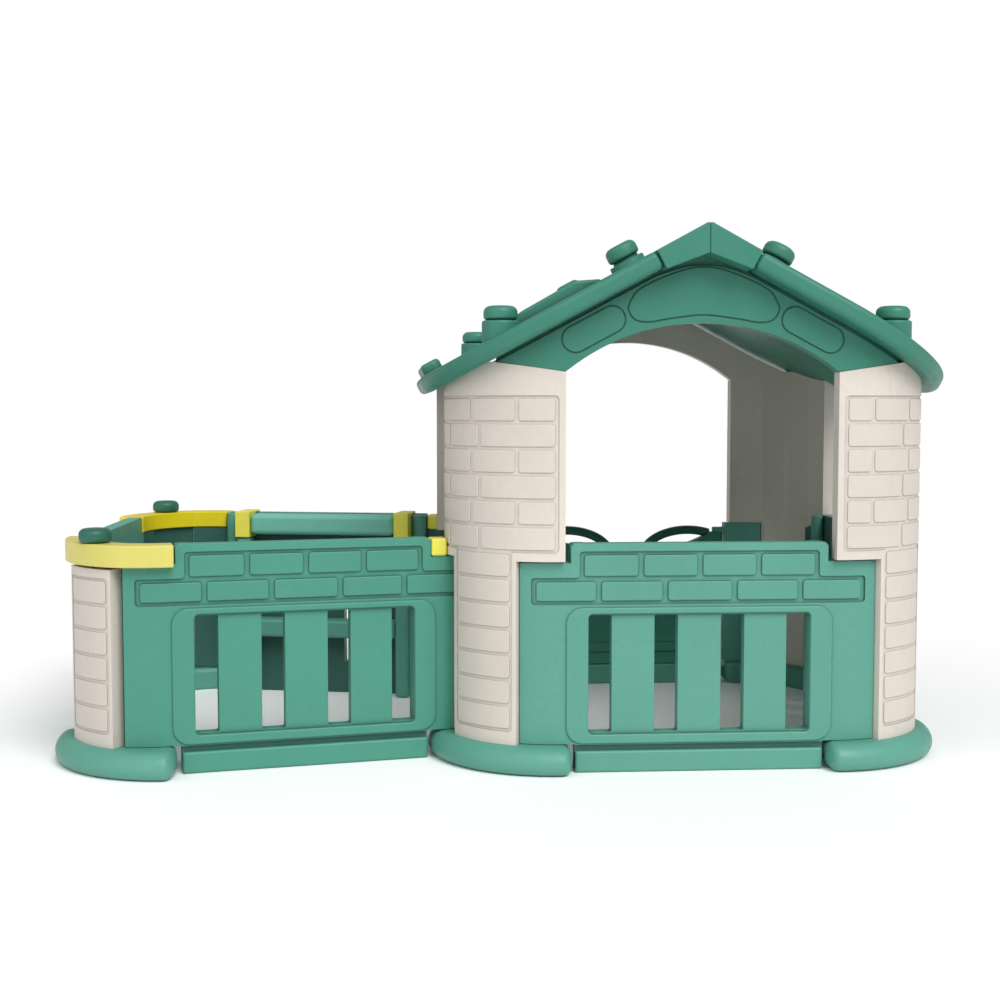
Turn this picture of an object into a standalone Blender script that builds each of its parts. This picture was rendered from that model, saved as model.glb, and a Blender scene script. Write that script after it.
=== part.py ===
"""Plastic playhouse with a low fenced pen on its left, in metres, front towards -Y, +Z up.

The house is a square with quarter-round corners. Four corner posts stand in banana-shaped feet, low
slotted panels close the front and the right, two swing leaves close the back, and the left is open to
the pen. The pen's three panels are the same moulding as the house's and run between two short posts.
"""

from math import asin, atan2, ceil, cos, degrees, floor, pi, radians, sin

import bmesh
import bpy
from mathutils import Matrix, Vector

# House plan
WIDTH = 1.096
CORNER_R = 0.2400
BRICK_PROUD = 0.0025
POST_T = 0.038
HALF = WIDTH / 2
FLAT = HALF - 0.2415
CENTRE_Y = HALF
ARM = 0.0095
GAP = 0.0003
GRID = 15

# Low panel, shared by house and pen. Its outer face lies PANEL_IN behind the posts' outer face.
PANEL_IN = 0.019
PANEL_T = 0.032
PANEL_END = 22.6
POST_START = 23.1
PANEL_TOP = 0.500
SHOULDER_Z = 0.4575
TAB_HALF = 0.283
SKIRT_HALF = 0.2715
FOOT_TOP = 0.070
PANEL_FOOT_Z = FOOT_TOP + 0.0005
SLOTS = ((0.0475, 0.0990), (0.1930, 0.2440))
SLOT_Z = (0.086, 0.3435)
FRAME_HALF = 0.295
FRAME_Z = (0.0620, 0.3605)
FRAME_R = 0.036
FRAME_PROUD = 0.006
PANEL_BRICK_PROUD = 0.0035
BOSS_S = 0.2632
BOSS_R = 0.0193

# Posts
ARM_Z = 0.4618
ROW = 0.0556
UPPER_ROWS_Z = 0.4865
LOWER_ROWS_Z = 0.0945
PEN_POST_TOP = 0.4465
CAP_TOP = 0.5005

# Gables and roof
ARCH_HALF = 0.2975
SPRING_Z = 0.869
ARCH_TOP = 0.9745
RIDGE_Z = 1.183
PITCH = 0.535
ROOF_T = 0.046
EAVE = 0.604
ROOF_FRONT = -0.058
SEAM_TOP = 0.1135
SEAM_LOW = 0.0925

# Swing leaves
AXIS_X = 0.262
LEAF_T = 0.030
LEAF_Z = (0.0585, 0.4346)
SILL_Z = 0.056
PIN_R = 0.0050
HINGE_Y = WIDTH - PANEL_IN - PANEL_T / 2

# Pen placement: front run, side run and back run as (x, y, heading) of the panel's outer face
RUN_TURN = radians(12.6)
FRONT_RUN = (-0.8583, 0.1249, RUN_TURN)
BACK_RUN = (-0.8435, 1.0086, pi - RUN_TURN)
PEN_TURN = radians(0.8)
PEN_FRONT_CORNER = (-1.1520, 0.2590)
PEN_SIDE = 2 * FLAT

MINT = ("mint_plastic", (0.125, 0.415, 0.310, 1), 0.42)
TEAL = ("teal_plastic", (0.052, 0.285, 0.195, 1), 0.42)
DEEP = ("deep_green_plastic", (0.030, 0.165, 0.115, 1), 0.40)
BEIGE = ("beige_plastic", (0.740, 0.690, 0.620, 1), 0.48)
YELLOW = ("yellow_plastic", (0.790, 0.720, 0.135, 1), 0.38)
STEEL = ("pin_plastic", (0.035, 0.040, 0.040, 1), 0.35)


def clear_scene():
    for obj in list(bpy.data.objects):
        bpy.data.objects.remove(obj)
    for coll in list(bpy.data.collections):
        bpy.data.collections.remove(coll)


def material(spec):
    name, colour, rough = spec
    found = bpy.data.materials.get(name)
    if found:
        return found
    made = bpy.data.materials.new(name)
    made.use_nodes = True
    shader = made.node_tree.nodes["Principled BSDF"]
    shader.inputs["Base Color"].default_value = colour
    shader.inputs["Roughness"].default_value = rough
    made.diffuse_color = colour
    return made


def to_mesh(obj, name):
    """The evaluated shape of an object as a new mesh, welded and with its normals outwards."""
    graph = bpy.context.evaluated_depsgraph_get()
    graph.update()
    mesh = bpy.data.meshes.new_from_object(obj.evaluated_get(graph))
    mesh.name = name
    work = bmesh.new()
    work.from_mesh(mesh)
    bmesh.ops.remove_doubles(work, verts=work.verts, dist=1e-6)
    bmesh.ops.dissolve_degenerate(work, dist=1e-6, edges=work.edges)
    bmesh.ops.recalc_face_normals(work, faces=work.faces)
    work.to_mesh(mesh)
    work.free()
    return mesh


def mesh_object(name, mesh):
    obj = bpy.data.objects.new(name, mesh)
    bpy.context.scene.collection.objects.link(obj)
    return obj


def prism(loops, low, high):
    """A solid between two heights with the given outline; further loops are holes or separate islands."""
    curve = bpy.data.curves.new("outline", "CURVE")
    curve.dimensions = "2D"
    curve.fill_mode = "BOTH"
    curve.extrude = (high - low) / 2
    for loop in loops:
        spline = curve.splines.new("POLY")
        spline.points.add(len(loop) - 1)
        for point, (x, y) in zip(spline.points, loop):
            point.co = (x, y, 0, 1)
        spline.use_cyclic_u = True
    source = mesh_object("outline", curve)
    mesh = to_mesh(source, "prism")
    bpy.data.objects.remove(source)
    mesh.transform(Matrix.Translation((0, 0, (low + high) / 2)))
    return mesh_object("prism", mesh)


def upright(loops, near, far):
    """A solid whose outline is drawn in X and Z and which runs along Y from near to far."""
    obj = prism(loops, near, far)
    obj.data.transform(Matrix(((1, 0, 0, 0), (0, 0, 1, 0), (0, 1, 0, 0), (0, 0, 0, 1))))
    flip_if_needed(obj.data)
    return obj


def flip_if_needed(mesh):
    work = bmesh.new()
    work.from_mesh(mesh)
    bmesh.ops.recalc_face_normals(work, faces=work.faces)
    work.to_mesh(mesh)
    work.free()


def combine(obj, tool, operation):
    mod = obj.modifiers.new("bool", "BOOLEAN")
    mod.operation = operation
    mod.solver = "EXACT"
    mod.object = tool
    mesh = to_mesh(obj, obj.name)
    obj.modifiers.remove(mod)
    obj.data = mesh
    bpy.data.objects.remove(tool)
    return obj


def join(parts):
    """One object out of several that do not touch."""
    work = bmesh.new()
    for part in parts:
        part.data.transform(part.matrix_world)
        work.from_mesh(part.data)
        bpy.data.objects.remove(part)
    mesh = bpy.data.meshes.new("joined")
    work.to_mesh(mesh)
    work.free()
    return mesh_object("joined", mesh)


def bevel(obj, width, segments, angle=40):
    mod = obj.modifiers.new("bevel", "BEVEL")
    mod.width = width
    mod.segments = segments
    mod.limit_method = "ANGLE"
    mod.angle_limit = radians(angle)
    mod.use_clamp_overlap = True
    return obj


def arc(centre, radius, start, stop, step=7.5):
    """Points round a circle, angles in degrees."""
    count = max(1, round(abs(stop - start) / step))
    points = []
    for i in range(count + 1):
        turn = radians(start + (stop - start) * i / count)
        points.append((centre[0] + radius * cos(turn), centre[1] + radius * sin(turn)))
    return points


def ring_arc(centre, radius, start, stop):
    """Points round a circle on a fixed grid of angles between two angles, and at both ends."""
    turns = [start]
    step = GRID if stop > start else -GRID
    turn = ceil(start / GRID) * GRID if step > 0 else floor(start / GRID) * GRID
    while (turn < stop - 1) if step > 0 else (turn > stop + 1):
        if abs(turn - start) > 1:
            turns.append(turn)
        turn += step
    turns.append(stop)
    return [(centre[0] + radius * cos(radians(t)), centre[1] + radius * sin(radians(t))) for t in turns]


def sector(centre, inner, outer, start, stop, low, high):
    loop = ring_arc(centre, outer, start, stop) + ring_arc(centre, inner, stop, start)
    return prism([loop], low, high)


def rounded(x0, x1, z0, z1, radius, steps=3):
    """Outline of a rectangle with round corners."""
    points = []
    corners = ((x1, z0, -90), (x1, z1, 0), (x0, z1, 90), (x0, z0, 180))
    for x, z, start in corners:
        cx = x - radius if x == x1 else x + radius
        cz = z - radius if z == z1 else z + radius
        for i in range(steps + 1):
            turn = radians(start + 90 * i / steps)
            points.append((cx + radius * cos(turn), cz + radius * sin(turn)))
    return points


def box(x0, x1, y0, y1, z0, z1):
    return prism([[(x0, y0), (x1, y0), (x1, y1), (x0, y1)]], z0, z1)


def turned(radius_heights, steps, place):
    """A solid of revolution from a profile that runs down its outer side, placed by a matrix."""
    mesh = bpy.data.meshes.new("profile")
    verts = [(r, 0, z) for r, z in radius_heights]
    mesh.from_pydata(verts, [(i, i + 1) for i in range(len(verts) - 1)], [])
    obj = mesh_object("profile", mesh)
    mod = obj.modifiers.new("screw", "SCREW")
    mod.steps = steps
    mod.render_steps = steps
    mod.use_merge_vertices = True
    mod.merge_threshold = 0.0001
    mod.use_normal_calculate = True
    solid = to_mesh(obj, "turned")
    bpy.data.objects.remove(obj)
    solid.transform(place)
    return mesh_object("turned", solid)


def finish(obj, name, spec, coll, smooth=False):
    obj.name = name
    obj.data.name = name
    obj.data.materials.clear()
    obj.data.materials.append(material(spec))
    for other in list(obj.users_collection):
        other.objects.unlink(obj)
    coll.objects.link(obj)
    obj.data.shade_flat()
    if smooth:
        obj.data.shade_smooth()
        obj.data.set_sharp_from_angle(angle=radians(35))
    return obj


def placed(obj, matrix):
    obj.data.transform(matrix)
    if matrix.determinant() < 0:
        flip_if_needed(obj.data)
    return obj


def corner_turns():
    """The four house corners as rotations of the front left one about the house's centre."""
    pivot = Matrix.Translation((0, CENTRE_Y, 0))
    for name, turn in (("front_left", 0), ("front_right", 90), ("back_right", 180), ("back_left", 270)):
        yield name, pivot @ Matrix.Rotation(radians(turn), 4, "Z") @ pivot.inverted()


CORNER = (-FLAT, 0.2415)


def post_bricks(rows, centre, low_z, kind):
    """Raised bricks round the corner; angles run from the front face (270) to the side face (180)."""
    patterns = {
        "odd": ((3.0, 22.0), (24.0, 50.4), (52.2, 87.0)),
        "even": ((3.0, 44.4), (46.2, 71.8), (73.6, 87.0)),
        "single": ((27.0, 63.0),),
    }
    parts = []
    for row in range(rows):
        key = kind if kind == "single" else ("even" if row % 2 == 0 else "odd")
        low = low_z + row * ROW
        for start, stop in patterns[key]:
            parts.append(
                sector(
                    centre,
                    CORNER_R - 0.002,
                    CORNER_R + BRICK_PROUD,
                    270 - start,
                    270 - stop,
                    low,
                    low + ROW - 0.0072,
                )
            )
    return parts


def house_post():
    """Front left post: a wide part round the whole corner on a narrower leg, both with brick relief."""
    inner = CORNER_R - POST_T
    x, y = CORNER
    upper = [(x + ARM, y - CORNER_R)] + ring_arc(CORNER, CORNER_R, 270, 180)
    upper += [(x - CORNER_R, y + ARM), (x - inner, y + ARM)]
    upper += ring_arc(CORNER, inner, 180, 270) + [(x + ARM, y - inner)]
    body = prism([upper], ARM_Z, 0.97)
    leg = sector(CORNER, inner, CORNER_R, 270 - POST_START, 180 + POST_START, PANEL_FOOT_Z, ARM_Z + 0.02)
    combine(body, leg, "UNION")
    bricks = post_bricks(6, CORNER, UPPER_ROWS_Z, "odd") + post_bricks(7, CORNER, LOWER_ROWS_Z, "single")
    return combine(body, join(bricks), "UNION")


def gable_low(x):
    """Height of the gable's lower edge over a post."""
    return SPRING_Z + 0.13 * max(0.0, abs(x) - 0.2935)


def roof_under(x):
    return RIDGE_Z - ROOF_T - PITCH * abs(x) - 0.0006


def gable_end(low_top):
    """Distance from the middle at which the gable's upper and lower edges would meet."""
    return (roof_under(0) - low_top - SPRING_Z + 0.13 * 0.2935) / (PITCH + 0.13)


def post_cap_profile():
    """The space that a post may fill: under the gable's edge, then under the roof."""
    meet = gable_end(0)
    right = [(0.2, gable_low(0) - GAP), (0.2935, gable_low(0.2935) - GAP)]
    right += [(meet, roof_under(meet) - GAP), (0.60, roof_under(0.60) - GAP)]
    left = [(-x, z) for x, z in reversed(right)]
    return [(-0.60, -0.1), (0.60, -0.1)] + list(reversed(right)) + list(reversed(left))


def gable(name, spec, coll, matrix, low_top):
    """Curved gable over a window or doorway: arch below, roof line above."""
    end = gable_end(low_top) - 0.006
    top = []
    for x in (-end, -0.104):
        top.append((x, roof_under(x) - low_top))
    for i in range(1, 8):
        t = i / 8
        x = -0.104 + 0.208 * t
        top.append((x, roof_under(0.104) - low_top + 0.0245 * sin(pi * t)))
    top += [(0.104, roof_under(0.104) - low_top), (end, roof_under(end) - low_top)]
    foot_z = gable_low(ARCH_HALF) + GAP
    rise = ARCH_TOP - SPRING_Z
    radius = (ARCH_HALF**2 + rise**2) / (2 * rise)
    half = degrees(asin(ARCH_HALF / radius))
    arch = arc((0, ARCH_TOP - radius), radius, 90 + half, 90 - half, 5.0)
    arch[0], arch[-1] = (-ARCH_HALF, foot_z), (ARCH_HALF, foot_z)
    low = [(end, gable_low(end) + GAP)] + list(reversed(arch)) + [(-end, gable_low(end) + GAP)]
    body = upright([top + low], -0.02, 0.30)
    inner = CORNER_R - POST_T
    outer_path = ring_arc((FLAT, 0.2415), CORNER_R, 320, 270) + ring_arc((-FLAT, 0.2415), CORNER_R, 270, 220)
    inner_path = ring_arc((-FLAT, 0.2415), inner, 220, 270) + ring_arc((FLAT, 0.2415), inner, 270, 320)
    ring = prism([outer_path + inner_path], 0.80, 1.20)
    combine(ring, body, "INTERSECT")
    right = [(0.0, 1.0910), (0.016, 1.0880), (0.040, 1.0751), (0.146, 1.0184), (0.159, 1.0085), (0.163, 0.9950)]
    right += [(0.152, 0.9800), (0.128, 0.9755), (0.064, 0.9855)]
    lens = right + [(0.0, 0.9890)] + [(-x, z) for x, z in reversed(right[1:])]
    sides = []
    for side in (-1, 1):
        slope = atan2(-PITCH * side, 1)
        loop = arc((0.044, 0), 0.0290, -90, 90, 30) + arc((-0.044, 0), 0.0290, 90, 270, 30)
        moved = []
        for x, z in loop:
            moved.append((side * 0.2375 + x * cos(slope) - z * sin(slope), 0.960 + x * sin(slope) + z * cos(slope)))
        sides.append(moved)
    pads = upright([lens] + sides, -0.0015, 0.010)
    combine(ring, pads, "UNION")
    placed(ring, matrix)
    return finish(ring, name, spec, coll)


def panel_path(offset, half_flat=FLAT, end=PANEL_END):
    """Plan of the low panel's face at a distance behind the posts' outer face, left to right."""
    radius = 0.2415 - offset
    left = arc((-half_flat, 0.2415), radius, 270 - end, 270, 7.6)
    right = arc((half_flat, 0.2415), radius, 270, 270 + end, 7.6)
    return left + right


def low_panel():
    """Half-height panel in house coordinates: its posts' outer face is the plane Y = 0."""
    face = panel_path(PANEL_IN)
    back = panel_path(PANEL_IN + PANEL_T)
    body = prism([face + list(reversed(back))], -0.01, 0.52)
    outline = [(-SKIRT_HALF, 0.0), (SKIRT_HALF, 0.0), (SKIRT_HALF, PANEL_FOOT_Z), (0.42, PANEL_FOOT_Z)]
    outline += [(0.42, SHOULDER_Z), (TAB_HALF, SHOULDER_Z)]
    outline += [(TAB_HALF, PANEL_TOP - 0.008), (TAB_HALF - 0.008, PANEL_TOP)]
    outline += [(-x, z) for x, z in reversed(outline[3:])][:-1] + [(-0.42, PANEL_FOOT_Z), (-SKIRT_HALF, PANEL_FOOT_Z)]
    holes = []
    for near, far in SLOTS:
        for side in (-1, 1):
            x0, x1 = sorted((side * near, side * far))
            holes.append([(x0, SLOT_Z[0]), (x1, SLOT_Z[0]), (x1, SLOT_Z[1]), (x0, SLOT_Z[1])])
    combine(body, upright([outline] + holes, -0.05, 0.12), "INTERSECT")
    relief_face = panel_path(PANEL_IN - PANEL_BRICK_PROUD)
    relief_back = panel_path(PANEL_IN + 0.002)
    bricks = prism([relief_face + list(reversed(relief_back))], 0.3, 0.52)
    loops = []
    for x0, x1 in ((-0.2537, -0.1356), (-0.1233, -0.0062), (0.0062, 0.1233), (0.1356, 0.2537)):
        loops.append([(x0, 0.4285), (x1, 0.4285), (x1, 0.4745), (x0, 0.4745)])
    for x0, x1 in ((-0.358, -0.228), (-0.2159, -0.0826), (-0.0701, 0.0701), (0.0826, 0.2159), (0.228, 0.358)):
        loops.append([(x0, 0.3745), (x1, 0.3745), (x1, 0.4165), (x0, 0.4165)])
    combine(bricks, upright(loops, -0.05, 0.12), "INTERSECT")
    frame = upright(
        [
            rounded(-FRAME_HALF, FRAME_HALF, FRAME_Z[0], FRAME_Z[1], FRAME_R),
            rounded(-0.2445, 0.2445, 0.0825, 0.3465, 0.010, 2),
        ],
        PANEL_IN - FRAME_PROUD,
        PANEL_IN + 0.003,
    )
    skirt = box(-SKIRT_HALF, SKIRT_HALF, 0.007, PANEL_IN + 0.003, 0.0, 0.048)
    bosses = []
    for side in (-1, 1):
        centre = (side * BOSS_S, PANEL_IN + PANEL_T + 0.010)
        loop = arc(centre, BOSS_R, 0, 330, 30)
        bosses.append(prism([loop], PANEL_FOOT_Z, 0.4985))
    combine(body, join([bricks, frame, skirt] + bosses), "UNION")
    return body


def run_matrix(run):
    """Places the low panel so that its outer face's middle is at run and its outside looks outwards."""
    x, y, heading = run
    return Matrix.Translation((x, y, 0)) @ Matrix.Rotation(heading, 4, "Z") @ Matrix.Translation((0, -PANEL_IN, 0))


def foot(end):
    """Front left foot: a banana round the corner that ends with round corners `end` past each tangent."""
    low, high = 0.1700, 0.2812
    r = end - 0.0005
    x, y = CORNER
    loop = arc((x + end - r, y - low - r), r, 90, 0, 30)
    loop += arc((x + end - r, y - high + r), r, 0, -90, 30)
    loop += arc(CORNER, high, 268, 182, 12.3)
    loop += arc((x - high + r, y + end - r), r, 180, 90, 30)
    loop += arc((x - low - r, y + end - r), r, 90, 0, 30)
    loop += arc(CORNER, low, 182, 268, 14.4)
    solid = prism([loop], 0.0, FOOT_TOP)
    return bevel(solid, 0.015, 1, 50)


def knob(place, head_r, stem):
    """Mushroom-headed plastic bolt on a collar; the collar's foot is `stem` below the head."""
    profile = [
        (0.0, 0.034),
        (head_r * 0.66, 0.0330),
        (head_r * 0.96, 0.022),
        (head_r, 0.006),
        (head_r * 0.82, -0.001),
        (head_r * 1.10, -0.004),
        (head_r * 1.12, -stem),
        (0.0, -stem),
    ]
    return turned(profile, 14, place)


def roof_slab(side):
    """One slope: a slab with round corners in plan, cut square to the slope at the ridge cap's seam."""
    angle = atan2(PITCH, 1)
    length = (EAVE - SEAM_TOP) / cos(angle)
    far = WIDTH - ROOF_FRONT
    radius = 0.330
    loop = [(0.0, ROOF_FRONT)]
    loop += arc((length - radius, ROOF_FRONT + radius), radius, 270, 360, 11.25)
    loop += arc((length - radius, far - radius), radius, 0, 90, 11.25)
    loop += [(0.0, far)]
    thick = ROOF_T * cos(angle)
    slab = prism([loop], -thick, 0.0)
    bevel(slab, 0.014, 2, 60)
    slab.data = to_mesh(slab, "slab")
    slab.modifiers.clear()
    section = [(0.108, -0.010), (0.108, 0.003), (0.160, 0.0263), (0.300, 0.0225), (0.326, 0.003), (0.326, -0.010)]
    raised = upright([section], 0.092, 1.004)
    bevel(raised, 0.008, 1, 60)
    raised.data = to_mesh(raised, "raised")
    raised.modifiers.clear()
    lip = prism([rounded(length - 0.066, length - 0.018, 0.330, 0.766, 0.020)], -0.010, 0.024)
    combine(slab, join([raised, lip]), "UNION")
    turn = Matrix.Rotation(angle, 4, "Y")
    place = Matrix.Translation((SEAM_TOP, 0, RIDGE_Z - PITCH * SEAM_TOP)) @ turn
    placed(slab, place)
    if side < 0:
        placed(slab, Matrix.Scale(-1, 4, (1, 0, 0)))
    return slab


def ridge_cap():
    g = 0.0006
    loop = [
        (-SEAM_TOP + g, RIDGE_Z - PITCH * SEAM_TOP),
        (-SEAM_LOW + g, RIDGE_Z - PITCH * SEAM_TOP - 0.0390),
        (0.0, 1.1175),
        (SEAM_LOW - g, RIDGE_Z - PITCH * SEAM_TOP - 0.0390),
        (SEAM_TOP - g, RIDGE_Z - PITCH * SEAM_TOP),
        (0.006, RIDGE_Z - 0.0025),
        (-0.006, RIDGE_Z - 0.0025),
    ]
    return bevel(upright([loop], ROOF_FRONT - 0.002, WIDTH - ROOF_FRONT + 0.002), 0.004, 2, 50)


def door_jamb(side):
    """Narrow upright between a back post and the doorway, with an eye for the hinge pin at its top."""
    near, far = PANEL_IN, PANEL_IN + PANEL_T
    face = [(0.2795, near)] + arc((FLAT, 0.2415), 0.2415 - near, 270, 270 + PANEL_END, 7.6)
    back = [(0.2795, far)] + arc((FLAT, 0.2415), 0.2415 - far, 270, 270 + PANEL_END, 7.6)
    body = prism([face + list(reversed(back))], PANEL_FOOT_Z, SHOULDER_Z)
    mid = (near + far) / 2
    eye = prism([arc((AXIS_X, mid), 0.015, 90, 270, 22.5) + [(0.2815, mid - 0.015), (0.2815, mid + 0.015)]], LEAF_Z[1] + 0.0005, 0.4480)
    combine(body, eye, "UNION")
    bore = prism([arc((AXIS_X, mid), PIN_R + GAP, 0, 330, 30)], 0.43, 0.4455)
    combine(body, bore, "DIFFERENCE")
    if side < 0:
        placed(body, Matrix.Scale(-1, 4, (1, 0, 0)))
    return placed(body, half_turn())


def half_turn():
    pivot = Matrix.Translation((0, CENTRE_Y, 0))
    return pivot @ Matrix.Rotation(pi, 4, "Z") @ pivot.inverted()


def threshold(pinned):
    """Low sill between two feet, in front-wall coordinates."""
    body = box(-SKIRT_HALF, SKIRT_HALF, 0.007, PANEL_IN + PANEL_T, 0.0, SILL_Z)
    if pinned:
        mid = PANEL_IN + PANEL_T / 2
        bores = [prism([arc((s * AXIS_X, mid), PIN_R + GAP, 0, 330, 30)], 0.036, 0.09) for s in (-1, 1)]
        combine(body, join(bores), "DIFFERENCE")
    return body


def leaf():
    """Right swing leaf about its own hinge axis: plate with a swooping top and a hoop over it."""
    low, high = LEAF_Z
    hinge = arc((0, 0), LEAF_T / 2, -90, 90, 22.5)
    tip = -(AXIS_X - 0.008)
    plan = hinge + [(tip + 0.006, LEAF_T / 2), (tip, LEAF_T / 2 - 0.006), (tip, -LEAF_T / 2 + 0.006), (tip + 0.006, -LEAF_T / 2)]
    body = prism([plan], 0.0, 0.6)
    top = [(0.02, high), (-0.018, high), (-0.034, 0.4285), (-0.052, 0.4180), (-0.080, 0.4065), (-0.125, 0.3960)]
    top += [(-0.185, 0.3905), (-0.27, 0.3870)]
    combine(body, upright([[(-0.27, low), (0.02, low)] + top], -0.05, 0.05), "INTERSECT")
    panel = upright([rounded(-0.225, -0.040, 0.120, 0.350, 0.020)], -0.018, 0.018)
    combine(body, panel, "UNION")
    curve = bpy.data.curves.new("hoop", "CURVE")
    curve.dimensions = "3D"
    curve.bevel_depth = 0.0125
    curve.bevel_resolution = 1
    curve.use_fill_caps = True
    spline = curve.splines.new("POLY")
    path = []
    for i in range(11):
        turn = radians(168 - 106 * i / 10)
        path.append((-0.0870 + 0.1290 * cos(turn), 0.3640 + 0.0765 * sin(turn)))
    spline.points.add(len(path) - 1)
    for point, (x, z) in zip(spline.points, path):
        point.co = (x, 0, z, 1)
    source = mesh_object("hoop", curve)
    tube = mesh_object("hoop_mesh", to_mesh(source, "hoop"))
    bpy.data.objects.remove(source)
    combine(body, tube, "UNION")
    bore = prism([arc((0, 0), PIN_R + GAP, 0, 330, 30)], 0.0, 0.6)
    return combine(body, bore, "DIFFERENCE")


def pen_turn(corner_index):
    """Takes the front left house corner to a pen corner: 0 is the front one, 1 the back one."""
    x, y = PEN_FRONT_CORNER
    if corner_index:
        x += PEN_SIDE * sin(PEN_TURN)
        y += PEN_SIDE * cos(PEN_TURN)
    turn = Matrix.Rotation(-PEN_TURN - corner_index * pi / 2, 4, "Z")
    return Matrix.Translation((x, y, 0)) @ turn @ Matrix.Translation((-CORNER[0], -CORNER[1], 0))


def pen_post(start, stop):
    inner = CORNER_R - POST_T
    body = sector(CORNER, inner, CORNER_R, 270 - start, 270 - stop, PANEL_FOOT_Z, PEN_POST_TOP)
    parts = []
    for row in range(6):
        low = LOWER_ROWS_Z + row * ROW
        parts.append(
            sector(CORNER, CORNER_R - 0.002, CORNER_R + BRICK_PROUD, 270 - start - 3.5, 270 - stop + 3.5, low, low + ROW - 0.0072)
        )
    return combine(body, join(parts), "UNION")


def cap_path(offset, first):
    """Plan of the yellow corner cap at a distance behind the posts' face, from tab to tab."""
    radius = 0.2415 - offset
    x, y = CORNER
    kink = RUN_TURN
    pivot = (x + 0.2415 * cos(radians(270 - PANEL_END)), y + 0.2415 * sin(radians(270 - PANEL_END)))
    straight = [(x + 0.0215, y - radius)] + arc(CORNER, radius, 270, 270 - PANEL_END, 7.6)
    turned_part = []
    for px, py in straight:
        dx, dy = px - pivot[0], py - pivot[1]
        turned_part.append((pivot[0] + dx * cos(kink) - dy * sin(kink), pivot[1] + dx * sin(kink) + dy * cos(kink)))
    middle = arc(CORNER, radius, 270 - PANEL_END - 5, 180 + PANEL_END, 7.5)
    last = arc(CORNER, radius, 180 + PANEL_END - 7.5, 180, 7.6) + [(x - radius, y + 0.0222)]
    path = turned_part + middle + last
    if not first:
        path = [(CORNER[0] + (q - CORNER[1]), CORNER[1] + (p - CORNER[0])) for p, q in path]
    return path


def pen_cap(first):
    """Yellow cap that fills the panels' notches and covers the post, with a lip down the outside."""
    top = prism([cap_path(-0.0095, first) + list(reversed(cap_path(0.054, first)))], SHOULDER_Z + GAP, CAP_TOP)
    lip = prism([cap_path(-0.0095, first) + list(reversed(cap_path(0.0150, first)))], 0.4470, SHOULDER_Z + 0.004)
    return combine(top, lip, "UNION")


def along(run, s, depth):
    """World point at s along a run's panel, depth behind its outer face."""
    x, y, heading = run
    return (x + s * cos(heading) - depth * sin(heading), y + s * sin(heading) + depth * cos(heading))


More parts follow.
